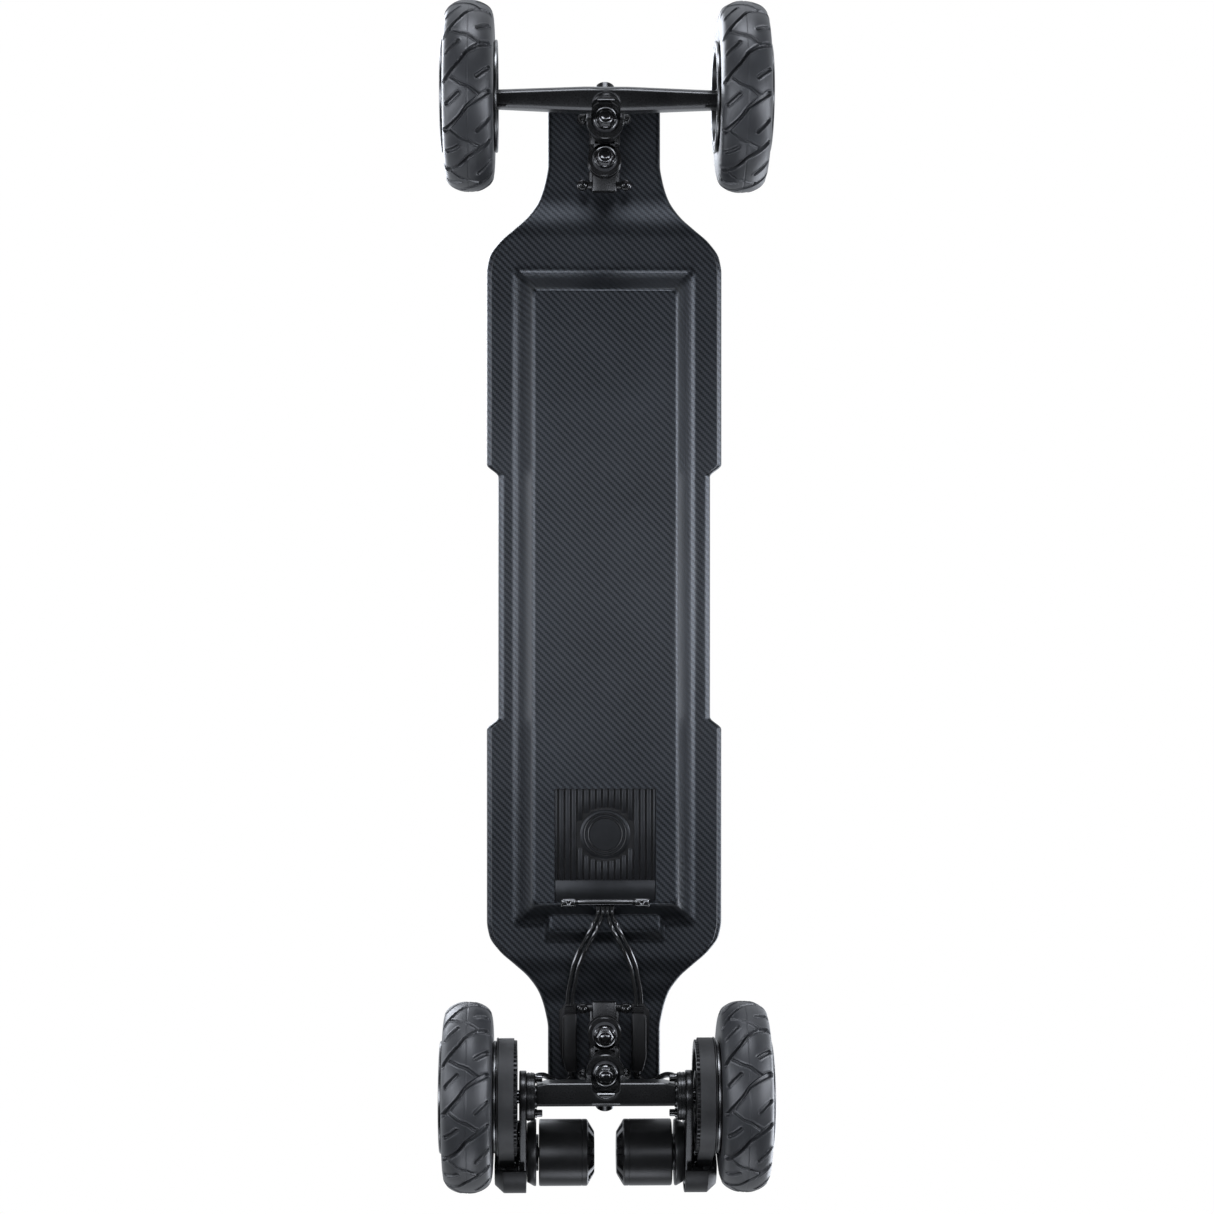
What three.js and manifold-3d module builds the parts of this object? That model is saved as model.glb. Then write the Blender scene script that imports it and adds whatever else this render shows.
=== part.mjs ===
// Electric skateboard: carbon deck with a built-in battery box, two double-kingpin trucks,
// four pneumatic wheels and two belt drives on the rear truck.
// Millimetres. +Y is the nose, +X the rider's right, +Z up, the tyres stand on z = 0.
import * as THREE from "three";
import { mergeVertices } from "three/addons/utils/BufferGeometryUtils.js";
import Module from "manifold-3d";

const wasm = await Module();
wasm.setup();

// ---- driving dimensions ----
const GAP = 0.3;
const AXLE_Y = 465.3;
const AXLE_Z = 87.5;
const BOLT_Y = 426.7;
const NECK_Z = 165;
const PLATFORM_DROP = 13;
const DECK_THICK = 12.5;
const DECK_END = 480;
const EDGE = 5;
const BOX_DEPTH = 34;
const BOX_FACE_X = 68;
const BOX_FOOT_X = 83;
const BOX_FACE_Y = 290;
const BOX_FOOT_Y = 309;
const SKIN = 5;
const FACE_Z = NECK_Z - PLATFORM_DROP - BOX_DEPTH;
const PLATFORM_TOP = NECK_Z - PLATFORM_DROP + DECK_THICK;
const LID_THICK = 2.6;
const GRIP_THICK = 1.2;
const WELL = { halfX: 62, halfY: 284 };
const LID = { halfX: 66, halfY: 288, split: -244 };
const BUMP_ROOT = { half: 52, y0: -294, y1: -324, z: 151 };
const BUMP_FACE = { half: 49, y0: -294, y1: -320, z: 140 };
const OVER = 5;
const HEATSINK = { halfX: 47.5, y0: -287, y1: -181, flange: 3, pitch: 5.9, grooves: 16 };
const GROOVE = { half: 1.2, deep: 1.6, margin: 20 };
const SINK_PAD = { halfX: 39.5, y0: -271.5, y1: -192.5 };
const DISC = { y: -224, r: 24, thick: 2.5 };
const CLAMP = { y: -288.2, barHalf: 26, earX: 34.6, thick: 3.2 };
const BATTERY = { halfX: 58, y0: -150, y1: 278 };
const CONTROLLER = { halfX: 44, y0: -280, y1: -160, thick: 14 };
const PORT = { x: 30, y: -262, r: 7 };
const BUTTON = { x: -30, y: -262, r: 8 };
const CABLE_R = 2;
const LEAD_R = 2.8;
const EXIT_X = { power: 2.2, sensor: 6.65 };

const KING_IN = -10.9;
const KING_OUT = 21;
const AXLE_U = AXLE_Y - BOLT_Y;
const BEAM_U = AXLE_U - 3;
const AXLE_V = NECK_Z - AXLE_Z;
const BOLT_HALF_X = 20.65;
const BOLT_HALF_Y = 31.75;
const PIN_R = 5;
const PIN_HEAD_R = 8;
const PIN_NUT_R = 8.6;
const WASHER_R = 11;
const BUSH_R = 12;
const CUP_R = 13.4;
const CUP_ONE = { u: 58, v: 7 };
const CUP_TWO = { u: 50, v: 36 };
const RING_ONE = { u: KING_IN, v: 25.2 };
const RING_TWO = { u: KING_OUT, v: 51.6 };

const TYRE_R = 87.5;
const TYRE_HALF = 23.2;
const RIM_HALF = 26.2;
const WHEEL_X = { front: 126.8, rear: 128.2 };
const AXLE_R = 4;
const AXLE_NUT_R = 7.4;
const SPACER_R = 6.5;
const HUB_HALF = 17;
const BEAD_R = 45.5;
const LIP_R = 51.5;
const BARREL_R = 41;
const SPOKES = 5;

const TOOTH_PITCH = 5;
const WHEEL_TEETH = 66;
const MOTOR_TEETH = 16;
const TOOTH_DROP = 0.57;
const TOOTH_DEPTH = 2.1;
const WHEEL_PULLEY_R = (WHEEL_TEETH * TOOTH_PITCH) / (2 * Math.PI) - TOOTH_DROP;
const MOTOR_PULLEY_R = (MOTOR_TEETH * TOOTH_PITCH) / (2 * Math.PI) - TOOTH_DROP;
const BELT = { x0: 85.5, x1: 99.5, thick: 1.6 };
const MOTOR_Y = -524.3;
const MOTOR_Z = 120;
const CAN_R = 31;
const MOUNT = { axleR: 24, motorR: 29.5, x0: 74, x1: 80.7, clampR: 22 };
const CLAMP_BOLTS = [-15.4, 16.9];
const MOTOR_BASE = { r0: 31, r1: 27, x0: 65, x1: 73.7, bossR: 17, bossX: 62.9 };
const GUARD = { r: 37.4, faceR: 29.6, x0: 74.4, x1: 95.6, face: 103.9, wall: 2.8, roof: 2.5 };
const GUARD_CUT = { near: -8, far: -120, deep: 70 };

// ---- materials ----
const coat = (color, roughness, metalness) => ({ color, roughness, metalness });
const CARBON = coat(0x2b3036, 0.3, 0.1);
const RUBBER = coat(0x2c2c2e, 0.85, 0);
const SATIN = coat(0x1b1c1e, 0.45, 0.6);
const STEEL = coat(0xb8babd, 0.3, 1);
const ALLOY = coat(0x9a9da1, 0.35, 0.9);
const PLASTIC = coat(0x17181a, 0.5, 0);
const URETHANE = coat(0xd8d2c2, 0.6, 0);
const GRIT = coat(0x151515, 0.95, 0);
const HEAT = coat(0x3a3d42, 0.4, 0.8);
const CELL = coat(0x2a5f9e, 0.5, 0);
const BOARD = coat(0x1f6b3a, 0.5, 0);

const group = new THREE.Group();
group.name = "electric_skateboard";

// ---- solids ----
function solid(geometry) {
  geometry.deleteAttribute("normal");
  geometry.deleteAttribute("uv");
  const joined = mergeVertices(geometry, 1e-4);
  const verts = Float32Array.from(joined.attributes.position.array);
  const tris = Uint32Array.from(joined.index.array);
  const at = (i) => new THREE.Vector3().fromArray(verts, 3 * i);
  let volume = 0;
  for (let t = 0; t < tris.length; t += 3) {
    volume += at(tris[t]).dot(at(tris[t + 1]).cross(at(tris[t + 2])));
  }
  if (volume < 0) {
    for (let t = 0; t < tris.length; t += 3) {
      [tris[t + 1], tris[t + 2]] = [tris[t + 2], tris[t + 1]];
    }
  }
  return new wasm.Manifold(new wasm.Mesh({ numProp: 3, vertProperties: verts, triVerts: tris }));
}

function fuse(...parts) {
  return parts.reduce((whole, part) => whole.add(part));
}

function cut(base, ...tools) {
  return tools.reduce((rest, tool) => rest.subtract(tool), base);
}

function piece(name, body, look) {
  const mesh = body.getMesh();
  const indexed = new THREE.BufferGeometry();
  indexed.setAttribute("position", new THREE.Float32BufferAttribute(mesh.vertProperties, 3));
  indexed.setIndex(Array.from(mesh.triVerts));
  const geometry = indexed.toNonIndexed();
  geometry.computeVertexNormals();
  const node = new THREE.Mesh(geometry, new THREE.MeshStandardMaterial(look));
  node.name = name;
  group.add(node);
}

function slab(x0, x1, y0, y1, z0, z1) {
  const size = [Math.abs(x1 - x0), Math.abs(y1 - y0), Math.abs(z1 - z0)];
  const box = new THREE.BoxGeometry(...size);
  return solid(box.translate((x0 + x1) / 2, (y0 + y1) / 2, (z0 + z1) / 2));
}

function cone(r0, r1, from, to, sides = 16) {
  const start = new THREE.Vector3(...from);
  const way = new THREE.Vector3(...to).sub(start);
  const body = new THREE.CylinderGeometry(r1, r0, way.length(), sides);
  body.translate(0, way.length() / 2, 0);
  const up = new THREE.Vector3(0, 1, 0);
  body.applyQuaternion(new THREE.Quaternion().setFromUnitVectors(up, way.normalize()));
  return solid(body.translate(...from));
}

const rod = (r, from, to, sides) => cone(r, r, from, to, sides);

// A closed skin over rings that all have the same number of points.
function loft(rings, flat) {
  const count = rings[0].length;
  const points = rings.flat();
  const index = [];
  for (let i = 0; i + 1 < rings.length; i += 1) {
    for (let j = 0; j < count; j += 1) {
      const a = i * count + j;
      const b = i * count + ((j + 1) % count);
      index.push(a, b, b + count, a, b + count, a + count);
    }
  }
  const cap = THREE.ShapeUtils.triangulateShape(rings[0].map(flat), []);
  const endCap = THREE.ShapeUtils.triangulateShape(rings.at(-1).map(flat), []);
  const last = (rings.length - 1) * count;
  const clockwise = THREE.ShapeUtils.area(rings[0].map(flat)) < 0;
  const wind = ([a, b, c]) => (clockwise ? [a, c, b] : [a, b, c]);
  cap.forEach((t) => index.push(...wind([t[0], t[2], t[1]])));
  endCap.forEach((t) => index.push(...wind([t[0] + last, t[1] + last, t[2] + last])));
  const body = new THREE.BufferGeometry();
  body.setAttribute("position", new THREE.Float32BufferAttribute(points.flat(), 3));
  body.setIndex(index);
  return solid(body);
}

// A plane outline in (x, y), drawn up from z0 to z1.
function panel(outline, z0, z1) {
  const ringAt = (z) => outline.map(([x, y]) => [x, y, z]);
  return loft([ringAt(z0), ringAt(z1)], ([x, y]) => new THREE.Vector2(x, y));
}

// A plane outline in (y, z), drawn out along X.
function plate(outline, x0, x1, holes = []) {
  const shape = new THREE.Shape(outline.map(([y, z]) => new THREE.Vector2(y, z)));
  holes.forEach((hole) => {
    shape.holes.push(new THREE.Path(hole.map(([y, z]) => new THREE.Vector2(y, z))));
  });
  const depth = Math.abs(x1 - x0);
  const body = new THREE.ExtrudeGeometry(shape, { depth, bevelEnabled: false, curveSegments: 1 });
  const turn = new THREE.Matrix4().makeBasis(
    new THREE.Vector3(0, 1, 0),
    new THREE.Vector3(0, 0, 1),
    new THREE.Vector3(1, 0, 0),
  );
  return solid(body.applyMatrix4(turn).translate(Math.min(x0, x1), 0, 0));
}

// A profile of (radius, x) turned about an axle through (y, z).
function turned(profile, y, z, sides, side = 1) {
  const closed = profile[0][0] === 0 ? profile : [...profile, profile[0]];
  const line = closed.map(([r, x]) => new THREE.Vector2(r, side * x));
  const body = new THREE.LatheGeometry(line, sides, Math.PI / sides);
  return solid(body.rotateZ(-Math.PI / 2).translate(0, y, z));
}

function tube(points, radius, sides = 8) {
  const path = new THREE.CatmullRomCurve3(points.map((p) => new THREE.Vector3(...p)));
  const steps = Math.ceil(path.getLength() / (radius * 5));
  const ring = Array.from({ length: sides }, (_, i) => {
    const a = (2 * Math.PI * i) / sides;
    return new THREE.Vector2(radius * Math.cos(a), radius * Math.sin(a));
  });
  const shape = new THREE.Shape(ring);
  return solid(new THREE.ExtrudeGeometry(shape, { steps, extrudePath: path, curveSegments: 1 }));
}

// ---- deck ----
const OUTLINE = [
  [0, 101.5], [115, 101.5], [127, 112.5], [310, 112.5], [325, 110], [339, 100.5],
  [352, 86], [364, 73.5], [382, 62], [402, 56], [415, 54], [470, 54], [480, 46],
];

function halfWidth(y) {
  const a = Math.abs(y);
  const k = Math.max(1, OUTLINE.findIndex(([s]) => s >= a));
  const [s0, w0] = OUTLINE[k - 1];
  const [s1, w1] = OUTLINE[k];
  return w0 + ((w1 - w0) * (a - s0)) / (s1 - s0);
}

function underside(y) {
  const rise = THREE.MathUtils.smoothstep(Math.abs(y), 343, 391);
  return NECK_Z - PLATFORM_DROP * (1 - rise);
}

const boxShare = (y) => THREE.MathUtils.clamp(
  (BOX_FOOT_Y - Math.abs(y)) / (BOX_FOOT_Y - BOX_FACE_Y), 0, 1);

const halfStations = [0, 115, 121, 127, BOX_FACE_Y, 300, BOX_FOOT_Y, 318, 325, 332, 339, 345,
  352, 358, 364, 373, 382, 391, 402, 415, 470, 476, DECK_END];
const stations = [...halfStations.slice(1).map((s) => -s).reverse(), ...halfStations];

function deckRing(y) {
  const w = halfWidth(y);
  const low = underside(y);
  const top = low + DECK_THICK;
  const share = boxShare(y);
  const foot = Math.min(BOX_FOOT_X, w - EDGE - 1);
  const face = foot - Math.max(share * (BOX_FOOT_X - BOX_FACE_X), 1);
  const half = [
    [face, low - share * BOX_DEPTH],
    [foot, low],
    [w - EDGE, low],
    [w - 1.5, low + 1.5],
    [w, low + EDGE],
    [w, top - EDGE + 1],
    [w - 1.5, top - 1.2],
    [w - EDGE, top],
  ];
  const mirrored = half.map(([x, z]) => [-x, z]).reverse();
  return [...half, ...mirrored].map(([x, z]) => [x, y, z]);
}

const deckBody = loft(stations.map(deckRing), ([x, , z]) => new THREE.Vector2(x, z));
const bumpRing = ({ half, y0, y1, z }) => [
  [-half, y0, z], [half, y0, z], [half, y1, z], [-half, y1, z],
];
const bump = loft([BUMP_ROOT, BUMP_FACE].map(bumpRing), ([x, y]) => new THREE.Vector2(x, y));
const well = slab(-WELL.halfX, WELL.halfX, -WELL.halfY, WELL.halfY, FACE_Z + SKIN,
  PLATFORM_TOP + OVER);
const lidSeat = slab(-LID.halfX, LID.halfX, -LID.halfY, LID.halfY,
  PLATFORM_TOP - LID_THICK - GAP, PLATFORM_TOP + OVER);
const sinkSeat = slab(-HEATSINK.halfX - GAP, HEATSINK.halfX + GAP, HEATSINK.y0 - GAP,
  HEATSINK.y1 + GAP, FACE_Z - OVER, FACE_Z + HEATSINK.flange + GAP);
const sinkWindow = slab(-SINK_PAD.halfX - GAP, SINK_PAD.halfX + GAP, SINK_PAD.y0 - GAP,
  SINK_PAD.y1 + GAP, FACE_Z - OVER, FACE_Z + SKIN + OVER);
const cableSlot = slab(-11, 11, -306, -290, FACE_Z - OVER, 127);
piece("deck_shell", cut(fuse(deckBody, bump), well, lidSeat, sinkSeat, sinkWindow, cableSlot), CARBON);

const hole = ({ x, y, r }) => rod(r, [x, y, PLATFORM_TOP - LID_THICK - OVER],
  [x, y, PLATFORM_TOP + OVER], 24);
const lidPart = (y0, y1) => slab(-LID.halfX + GAP, LID.halfX - GAP, y0, y1,
  PLATFORM_TOP - LID_THICK, PLATFORM_TOP);
piece("deck_lid", lidPart(LID.split + GAP, LID.halfY - GAP), CARBON);
piece("port_panel", cut(lidPart(-LID.halfY + GAP, LID.split), hole(PORT), hole(BUTTON)), PLASTIC);

function gripRing(y) {
  const w = halfWidth(y) - EDGE - 1;
  const low = underside(y) + DECK_THICK + GAP;
  const high = low + GRIP_THICK;
  return [[-w, y, low], [w, y, low], [w, y, high], [-w, y, high]];
}
const gripStations = stations.filter((y) => Math.abs(y) < DECK_END);
const grip = loft(gripStations.map(gripRing), ([x, , z]) => new THREE.Vector2(x, z));
const panelWindow = slab(-LID.halfX - GAP, LID.halfX + GAP, -LID.halfY - GAP,
  LID.split + GAP, PLATFORM_TOP - OVER, PLATFORM_TOP + OVER);
piece("grip_sheet", cut(grip, panelWindow), GRIT);

const padTop = FACE_Z + SKIN + 1;
const wellTop = PLATFORM_TOP - LID_THICK - 2;
piece("battery_pack", slab(-BATTERY.halfX, BATTERY.halfX, BATTERY.y0, BATTERY.y1,
  FACE_Z + SKIN + GAP, wellTop - 5), CELL);
piece("motor_controller", slab(-CONTROLLER.halfX, CONTROLLER.halfX, CONTROLLER.y0,
  CONTROLLER.y1, padTop + GAP, padTop + CONTROLLER.thick), BOARD);

function heatsink() {
  const { halfX, y0, y1, flange, pitch, grooves } = HEATSINK;
  const cover = slab(-halfX, halfX, y0, y1, FACE_Z, FACE_Z + flange);
  const pad = slab(-SINK_PAD.halfX, SINK_PAD.halfX, SINK_PAD.y0, SINK_PAD.y1, FACE_Z + 1, padTop);
  const cuts = Array.from({ length: grooves }, (_, i) => {
    const x = (i - (grooves - 1) / 2) * pitch;
    return slab(x - GROOVE.half, x + GROOVE.half, y0 + GROOVE.margin, y1 + OVER, FACE_Z - 1,
      FACE_Z + GROOVE.deep);
  });
  const disc = rod(DISC.r, [0, DISC.y, FACE_Z], [0, DISC.y, FACE_Z + DISC.thick], 24);
  return fuse(cut(fuse(cover, pad), ...cuts), disc);
}
piece("heatsink_cover", heatsink(), HEAT);

const clampZ = FACE_Z - GAP;
const clampBar = slab(-CLAMP.barHalf, CLAMP.barHalf, CLAMP.y - 1.8, CLAMP.y + 2.8,
  clampZ - CLAMP.thick, clampZ);
const earRing = (x, wide, deep, z) => [
  [x - wide, CLAMP.y - deep, z], [x + wide, CLAMP.y - deep, z],
  [x + wide, CLAMP.y + deep, z], [x - wide, CLAMP.y + deep, z],
];
const ears = [-CLAMP.earX, CLAMP.earX].map((x) => loft(
  [earRing(x, 7.6, 4.1, clampZ), earRing(x, 5.8, 2.6, clampZ - 3.4)],
  ([px, py]) => new THREE.Vector2(px, py)));
const earLinks = [-1, 1].map((s) => slab(s * (CLAMP.barHalf - 2), s * (CLAMP.barHalf + 4),
  CLAMP.y - 1.3, CLAMP.y + 2.6, clampZ - 2, clampZ));
piece("cable_clamp", fuse(clampBar, ...ears, ...earLinks), SATIN);

function chargePort() {
  const { x, y, r } = PORT;
  const top = PLATFORM_TOP + GAP + GRIP_THICK;
  const barrel = rod(r - GAP, [x, y, top - 15.5], [x, y, top], 24);
  const socket = rod(r - 2.2, [x, y, top - 11], [x, y, top + 1], 24);
  const pin = rod(1, [x, y, top - 12], [x, y, top - 6.2], 8);
  return fuse(cut(barrel, socket), pin);
}
piece("charge_port", chargePort(), PLASTIC);
const buttonTop = PLATFORM_TOP + GAP + GRIP_THICK + 1.6;
const stem = rod(4, [BUTTON.x, BUTTON.y, buttonTop - 12], [BUTTON.x, BUTTON.y, buttonTop - 3], 16);
const crown = cone(BUTTON.r - GAP, BUTTON.r - 1.1, [BUTTON.x, BUTTON.y, buttonTop - 6],
  [BUTTON.x, BUTTON.y, buttonTop], 24);
piece("power_button", fuse(stem, crown), STEEL);

// ---- cables under the tail ----
function cableRun(side, kind) {
  const x = side * EXIT_X[kind];
  const apart = kind === "sensor" ? 1 : -1;
  const mid = (t, y, z) => [side * (t + 2.3 * apart), y + 1.1 * apart, z];
  return [
    [x, -291.5, 121], [x, -297, 123.5], [x + side, -303, 131], mid(8.2, -311, 136.6),
    mid(13.5, -322, 136.8), mid(21, -337, 147), mid(27.2, -352, 148.8), mid(30, -366, 150.5),
    mid(32.4, -380, 155), mid(33, -390.4, 157.2),
  ];
}

for (const [side, tag] of [[1, "r"], [-1, "l"]]) {
  const neck = slab(side * 27.5, side * 38.5, -392.2, -398, 154, 160.5);
  const base = panel([
    [side * 26.4, -390], [side * 37, -390], [side * 43.4, -397.5], [side * 43.2, -425],
    [side * 40, -449], [side * 26.4, -449],
  ], 162, NECK_Z - GAP);
  const block = panel([
    [side * 26.4, -397], [side * 38, -397], [side * 40, -401], [side * 40, -442],
    [side * 37, -454], [side * 26.4, -454],
  ], 150.5, 163);
  piece(`connector_${tag}`, fuse(neck, base, block), PLASTIC);
  piece(`power_cable_${tag}`, tube(cableRun(side, "power"), CABLE_R), RUBBER);
  piece(`sensor_cable_${tag}`, tube(cableRun(side, "sensor"), CABLE_R), RUBBER);
  const lead = [
    [side * 32, -455, 157], [side * 32.4, -459.2, 156.4], [side * 39, -463.5, 150],
    [side * 49, -460, 143.5], [side * 59, -454, 134],
    [side * 67, -455, 122.5], [side * 69.6, -468, 116.5], [side * 69.4, -483, 119],
    [side * 69.2, -493.2, 120],
  ];
  piece(`motor_lead_${tag}`, tube(lead, LEAD_R), RUBBER);
}

// ---- trucks ----
// u runs outward from the centre of the bolt pattern, v runs down from the neck of the deck.
function truck(tag, end, beamHalf, journal) {
  const at = (x, u, v) => [x, end * (BOLT_Y + u), NECK_Z - v];
  const bar = (x0, x1, u0, u1, v0, v1) => slab(x0, x1, end * (BOLT_Y + u0), end * (BOLT_Y + u1),
    NECK_Z - v0, NECK_Z - v1);
  const drum = (r, u, v0, v1, sides = 16) => rod(r, at(0, u, v0), at(0, u, v1), sides);
  const along = (from, to, t) => at(0, from.u + (to.u - from.u) * t, from.v + (to.v - from.v) * t);

  const boltAt = (i, j, v) => at(i * BOLT_HALF_X, j * BOLT_HALF_Y, v);
  const bolts = [-1, 1].flatMap((i) => [-1, 1].map((j) => fuse(
    rod(4.4, boltAt(i, j, 4), boltAt(i, j, 9.5), 6),
    rod(2.4, boltAt(i, j, 8), boltAt(i, j, 12), 6))));
  const foot = fuse(bar(-14.5, 14.5, -30, 38, GAP, 5.5), bar(-11.8, 11.8, -39.4, -20, 1.2, 9));
  const tabs = [-1, 1].map((j) => bar(-BOLT_HALF_X, BOLT_HALF_X, j * BOLT_HALF_Y - 3.6,
    j * BOLT_HALF_Y + 3.6, GAP, 4.2));
  const pads = [-1, 1].flatMap((i) => [-1, 1].map((j) => rod(5.2, boltAt(i, j, GAP),
    boltAt(i, j, 4.2), 14)));
  const block = fuse(bar(-11.8, 11.8, -34, 10, 5, 9), drum(16, KING_IN, 5, 12.3));
  const bridge = bar(-8, 8, 34, 56, GAP, 5.5);
  const cupOne = rod(8, along(RING_ONE, CUP_ONE, 0.84), along(RING_ONE, CUP_ONE, 1.06), 14);
  const cupOneHole = rod(4.6, along(RING_ONE, CUP_ONE, 0.7), along(RING_ONE, CUP_ONE, 1), 12);
  const base = cut(fuse(foot, block, bridge, cupOne, ...tabs, ...pads, ...bolts), cupOneHole,
    drum(PIN_R + GAP, KING_IN, -2, 20), drum(PIN_HEAD_R + GAP, KING_IN, -2, 5.3));
  piece(`${tag}_baseplate`, base, SATIN);

  const pinOne = rod(4.1, along(RING_ONE, CUP_ONE, 0.74), along(RING_ONE, CUP_ONE, 0.98), 12);
  const riser = bar(-6.5, 6.5, 38, 44.5, 11, 30);
  const cupTwo = rod(9, along(RING_TWO, CUP_TWO, 0.86), along(RING_TWO, CUP_TWO, 1.25), 14);
  const cupTwoHole = rod(5.1, along(RING_TWO, CUP_TWO, 0.5), along(RING_TWO, CUP_TWO, 1.05), 12);
  const arm = fuse(drum(16, KING_IN, 22.3, 28), bar(-13, 13, KING_IN, 46, 22.3, 28),
    bar(-9, 9, 40, 54, 22.3, 33), drum(CUP_R, 16, 23, 36), drum(15, KING_OUT, 24, 38), cupTwo,
    riser, pinOne);
  piece(`${tag}_swing_arm`, cut(arm, cupTwoHole, drum(6.6, KING_IN, 15, 35),
    drum(PIN_R + GAP, KING_OUT, 15, 45), drum(PIN_HEAD_R + GAP, KING_OUT, 15, 29.3)),
  SATIN);

  function kingpin(name, u, head, washer) {
    const pin = drum(PIN_R, u, head, washer + 11.5, 12);
    const cap = drum(PIN_HEAD_R, u, head, head + 4.6, 6);
    const disc = drum(WASHER_R, u, washer, washer + 2, 16);
    const nut = drum(PIN_NUT_R, u, washer + 1.5, washer + 9.5, 6);
    piece(`${tag}_${name}_kingpin`, fuse(pin, cap, disc, nut), STEEL);
  }
  kingpin("inner", KING_IN, 0.5, 38.6);
  kingpin("outer", KING_OUT, 24.4, 65.6);

  const bush = (name, u, v0, v1) => piece(`${tag}_${name}`, cut(
    cone(BUSH_R, BUSH_R - 1, at(0, u, v0), at(0, u, v1), 16),
    drum(PIN_R + GAP, u, v0 - 1, v1 + 1, 12)), URETHANE);
  bush("inner_upper_bushing", KING_IN, 12.6, 22);
  bush("inner_lower_bushing", KING_IN, 28.3, 38.3);
  bush("outer_upper_bushing", KING_OUT, 38.3, 48);
  bush("outer_lower_bushing", KING_OUT, 55.3, 65.3);

  const section = (x, inner, outer, tall, nip) => [
    [-inner, -tall + nip], [-inner + nip, -tall], [outer - nip, -tall], [outer, -tall + nip],
    [outer, tall - nip], [outer - nip, tall], [-inner + nip, tall], [-inner, tall - nip],
  ].map(([du, dv]) => at(x, BEAM_U + du, AXLE_V + dv));
  const girder = journal
    ? [[-beamHalf, 9, 11.1, 10.5, 3], [-54, 11.1, 11.1, 10.8, 3], [54, 11.1, 11.1, 10.8, 3],
      [beamHalf, 9, 11.1, 10.5, 3]]
    : [[-beamHalf, 8.2, 8.6, 9, 4], [-22, 11.4, 11.4, 11.5, 4.5], [22, 11.4, 11.4, 11.5, 4.5],
      [beamHalf, 8.2, 8.6, 9, 4]];
  const beam = loft(girder.map((g) => section(...g)), ([, y, z]) => new THREE.Vector2(y, z));
  const yoke = fuse(drum(17.7, KING_OUT, 46, 58, 20), bar(-17.7, -11, KING_OUT, 36, 46, 72),
    bar(11, 17.7, KING_OUT, 36, 46, 72), bar(-14, 14, KING_OUT, 43, 50, 57.5));
  const nose = bar(-6.5, 6.5, 36.6, 40.5, 38.7, 72);
  const pinTwo = rod(4.6, along(RING_TWO, CUP_TWO, 0.62), along(RING_TWO, CUP_TWO, 1.02), 12);
  const ends = journal ? [-1, 1].map((s) => rod(10.4, at(s * (beamHalf - 3), AXLE_U, AXLE_V),
    at(s * journal, AXLE_U, AXLE_V), 20)) : [];
  const notch = fuse(drum(CUP_R, KING_OUT, 57, 95, 20), drum(CUP_R, KING_OUT + 4, 57.5, 95, 20),
    bar(-CUP_R + 0.2, CUP_R - 0.2, KING_OUT, KING_OUT + 4, 57.5, 95));
  const cups = [drum(CUP_R, KING_OUT, 40, 48.3, 20), drum(CUP_R, KING_OUT, 55, 60, 20)];
  piece(`${tag}_hanger`, cut(fuse(beam, yoke, nose, pinTwo, ...ends), notch, ...cups,
    drum(6.6, KING_OUT, 40, 60), rod(AXLE_R + GAP, at(-110, AXLE_U, AXLE_V),
      at(110, AXLE_U, AXLE_V), 12)), SATIN);

  const wheelX = WHEEL_X[tag];
  const reach = journal || beamHalf;
  const hub = wheelX - HUB_HALF;
  const tip = wheelX + 24.8;
  const line = (r, x0, x1, sides) => rod(r, at(x0, AXLE_U, AXLE_V), at(x1, AXLE_U, AXLE_V), sides);
  const spacers = [-1, 1].map((s) => line(SPACER_R, s * (reach + GAP), s * (hub - GAP), 12));
  const nuts = [-1, 1].map((s) => line(AXLE_NUT_R, s * (wheelX + HUB_HALF + GAP), s * (tip - 0.8), 6));
  piece(`${tag}_axle`, fuse(line(AXLE_R, -tip, tip, 12), ...spacers, ...nuts), STEEL);
}
truck("front", 1, 104.5, 0);
truck("rear", -1, 64.8, 80.5);

// ---- wheels ----
const TYRE_SIDES = 28;
const RIM_SIDES = 20;
const tyreR = TYRE_R / Math.cos(Math.PI / TYRE_SIDES);

function wheel(tag, side, y, x) {
  const name = `${tag}_${side > 0 ? "right" : "left"}`;
  const shift = (profile) => profile.map(([r, h]) => [r, x + h]);
  const tyre = [
    [46.8, -20], [58, -TYRE_HALF], [75, -22], [84.5, -13.6], [tyreR, 0], [84.5, 13.6],
    [75, 22], [58, TYRE_HALF], [46.8, 20],
  ];
  piece(`${name}_tyre`, turned(shift(tyre), y, AXLE_Z, TYRE_SIDES, side), RUBBER);
  const rim = [
    [AXLE_R + 0.4, -HUB_HALF], [16, -HUB_HALF], [16, -11], [BARREL_R, -7],
    [BARREL_R, -RIM_HALF], [LIP_R, -RIM_HALF], [LIP_R, -TYRE_HALF - 0.4], [BEAD_R, -19.4],
    [BEAD_R, 19.4], [LIP_R, TYRE_HALF + 0.4], [LIP_R, RIM_HALF], [BARREL_R, RIM_HALF],
    [BARREL_R, 7], [16, 11], [16, HUB_HALF], [AXLE_R + 0.4, HUB_HALF],
  ];
  const windows = Array.from({ length: SPOKES }, (_, i) => {
    const spread = [[20, 0.26], [37.5, 0.42], [37.5, -0.42], [20, -0.26]];
    const outline = spread.map(([r, a]) => {
      const turn = (2 * Math.PI * i) / SPOKES + a;
      return [y + r * Math.cos(turn), AXLE_Z + r * Math.sin(turn)];
    });
    return plate(outline, side * (x - 20), side * (x + 20));
  });
  const body = turned(shift(rim), y, AXLE_Z, RIM_SIDES, side);
  piece(`${name}_rim`, cut(body, ...windows), ALLOY);
}
for (const side of [1, -1]) {
  wheel("front", side, AXLE_Y, WHEEL_X.front);
  wheel("rear", side, -AXLE_Y, WHEEL_X.rear);
}

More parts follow.
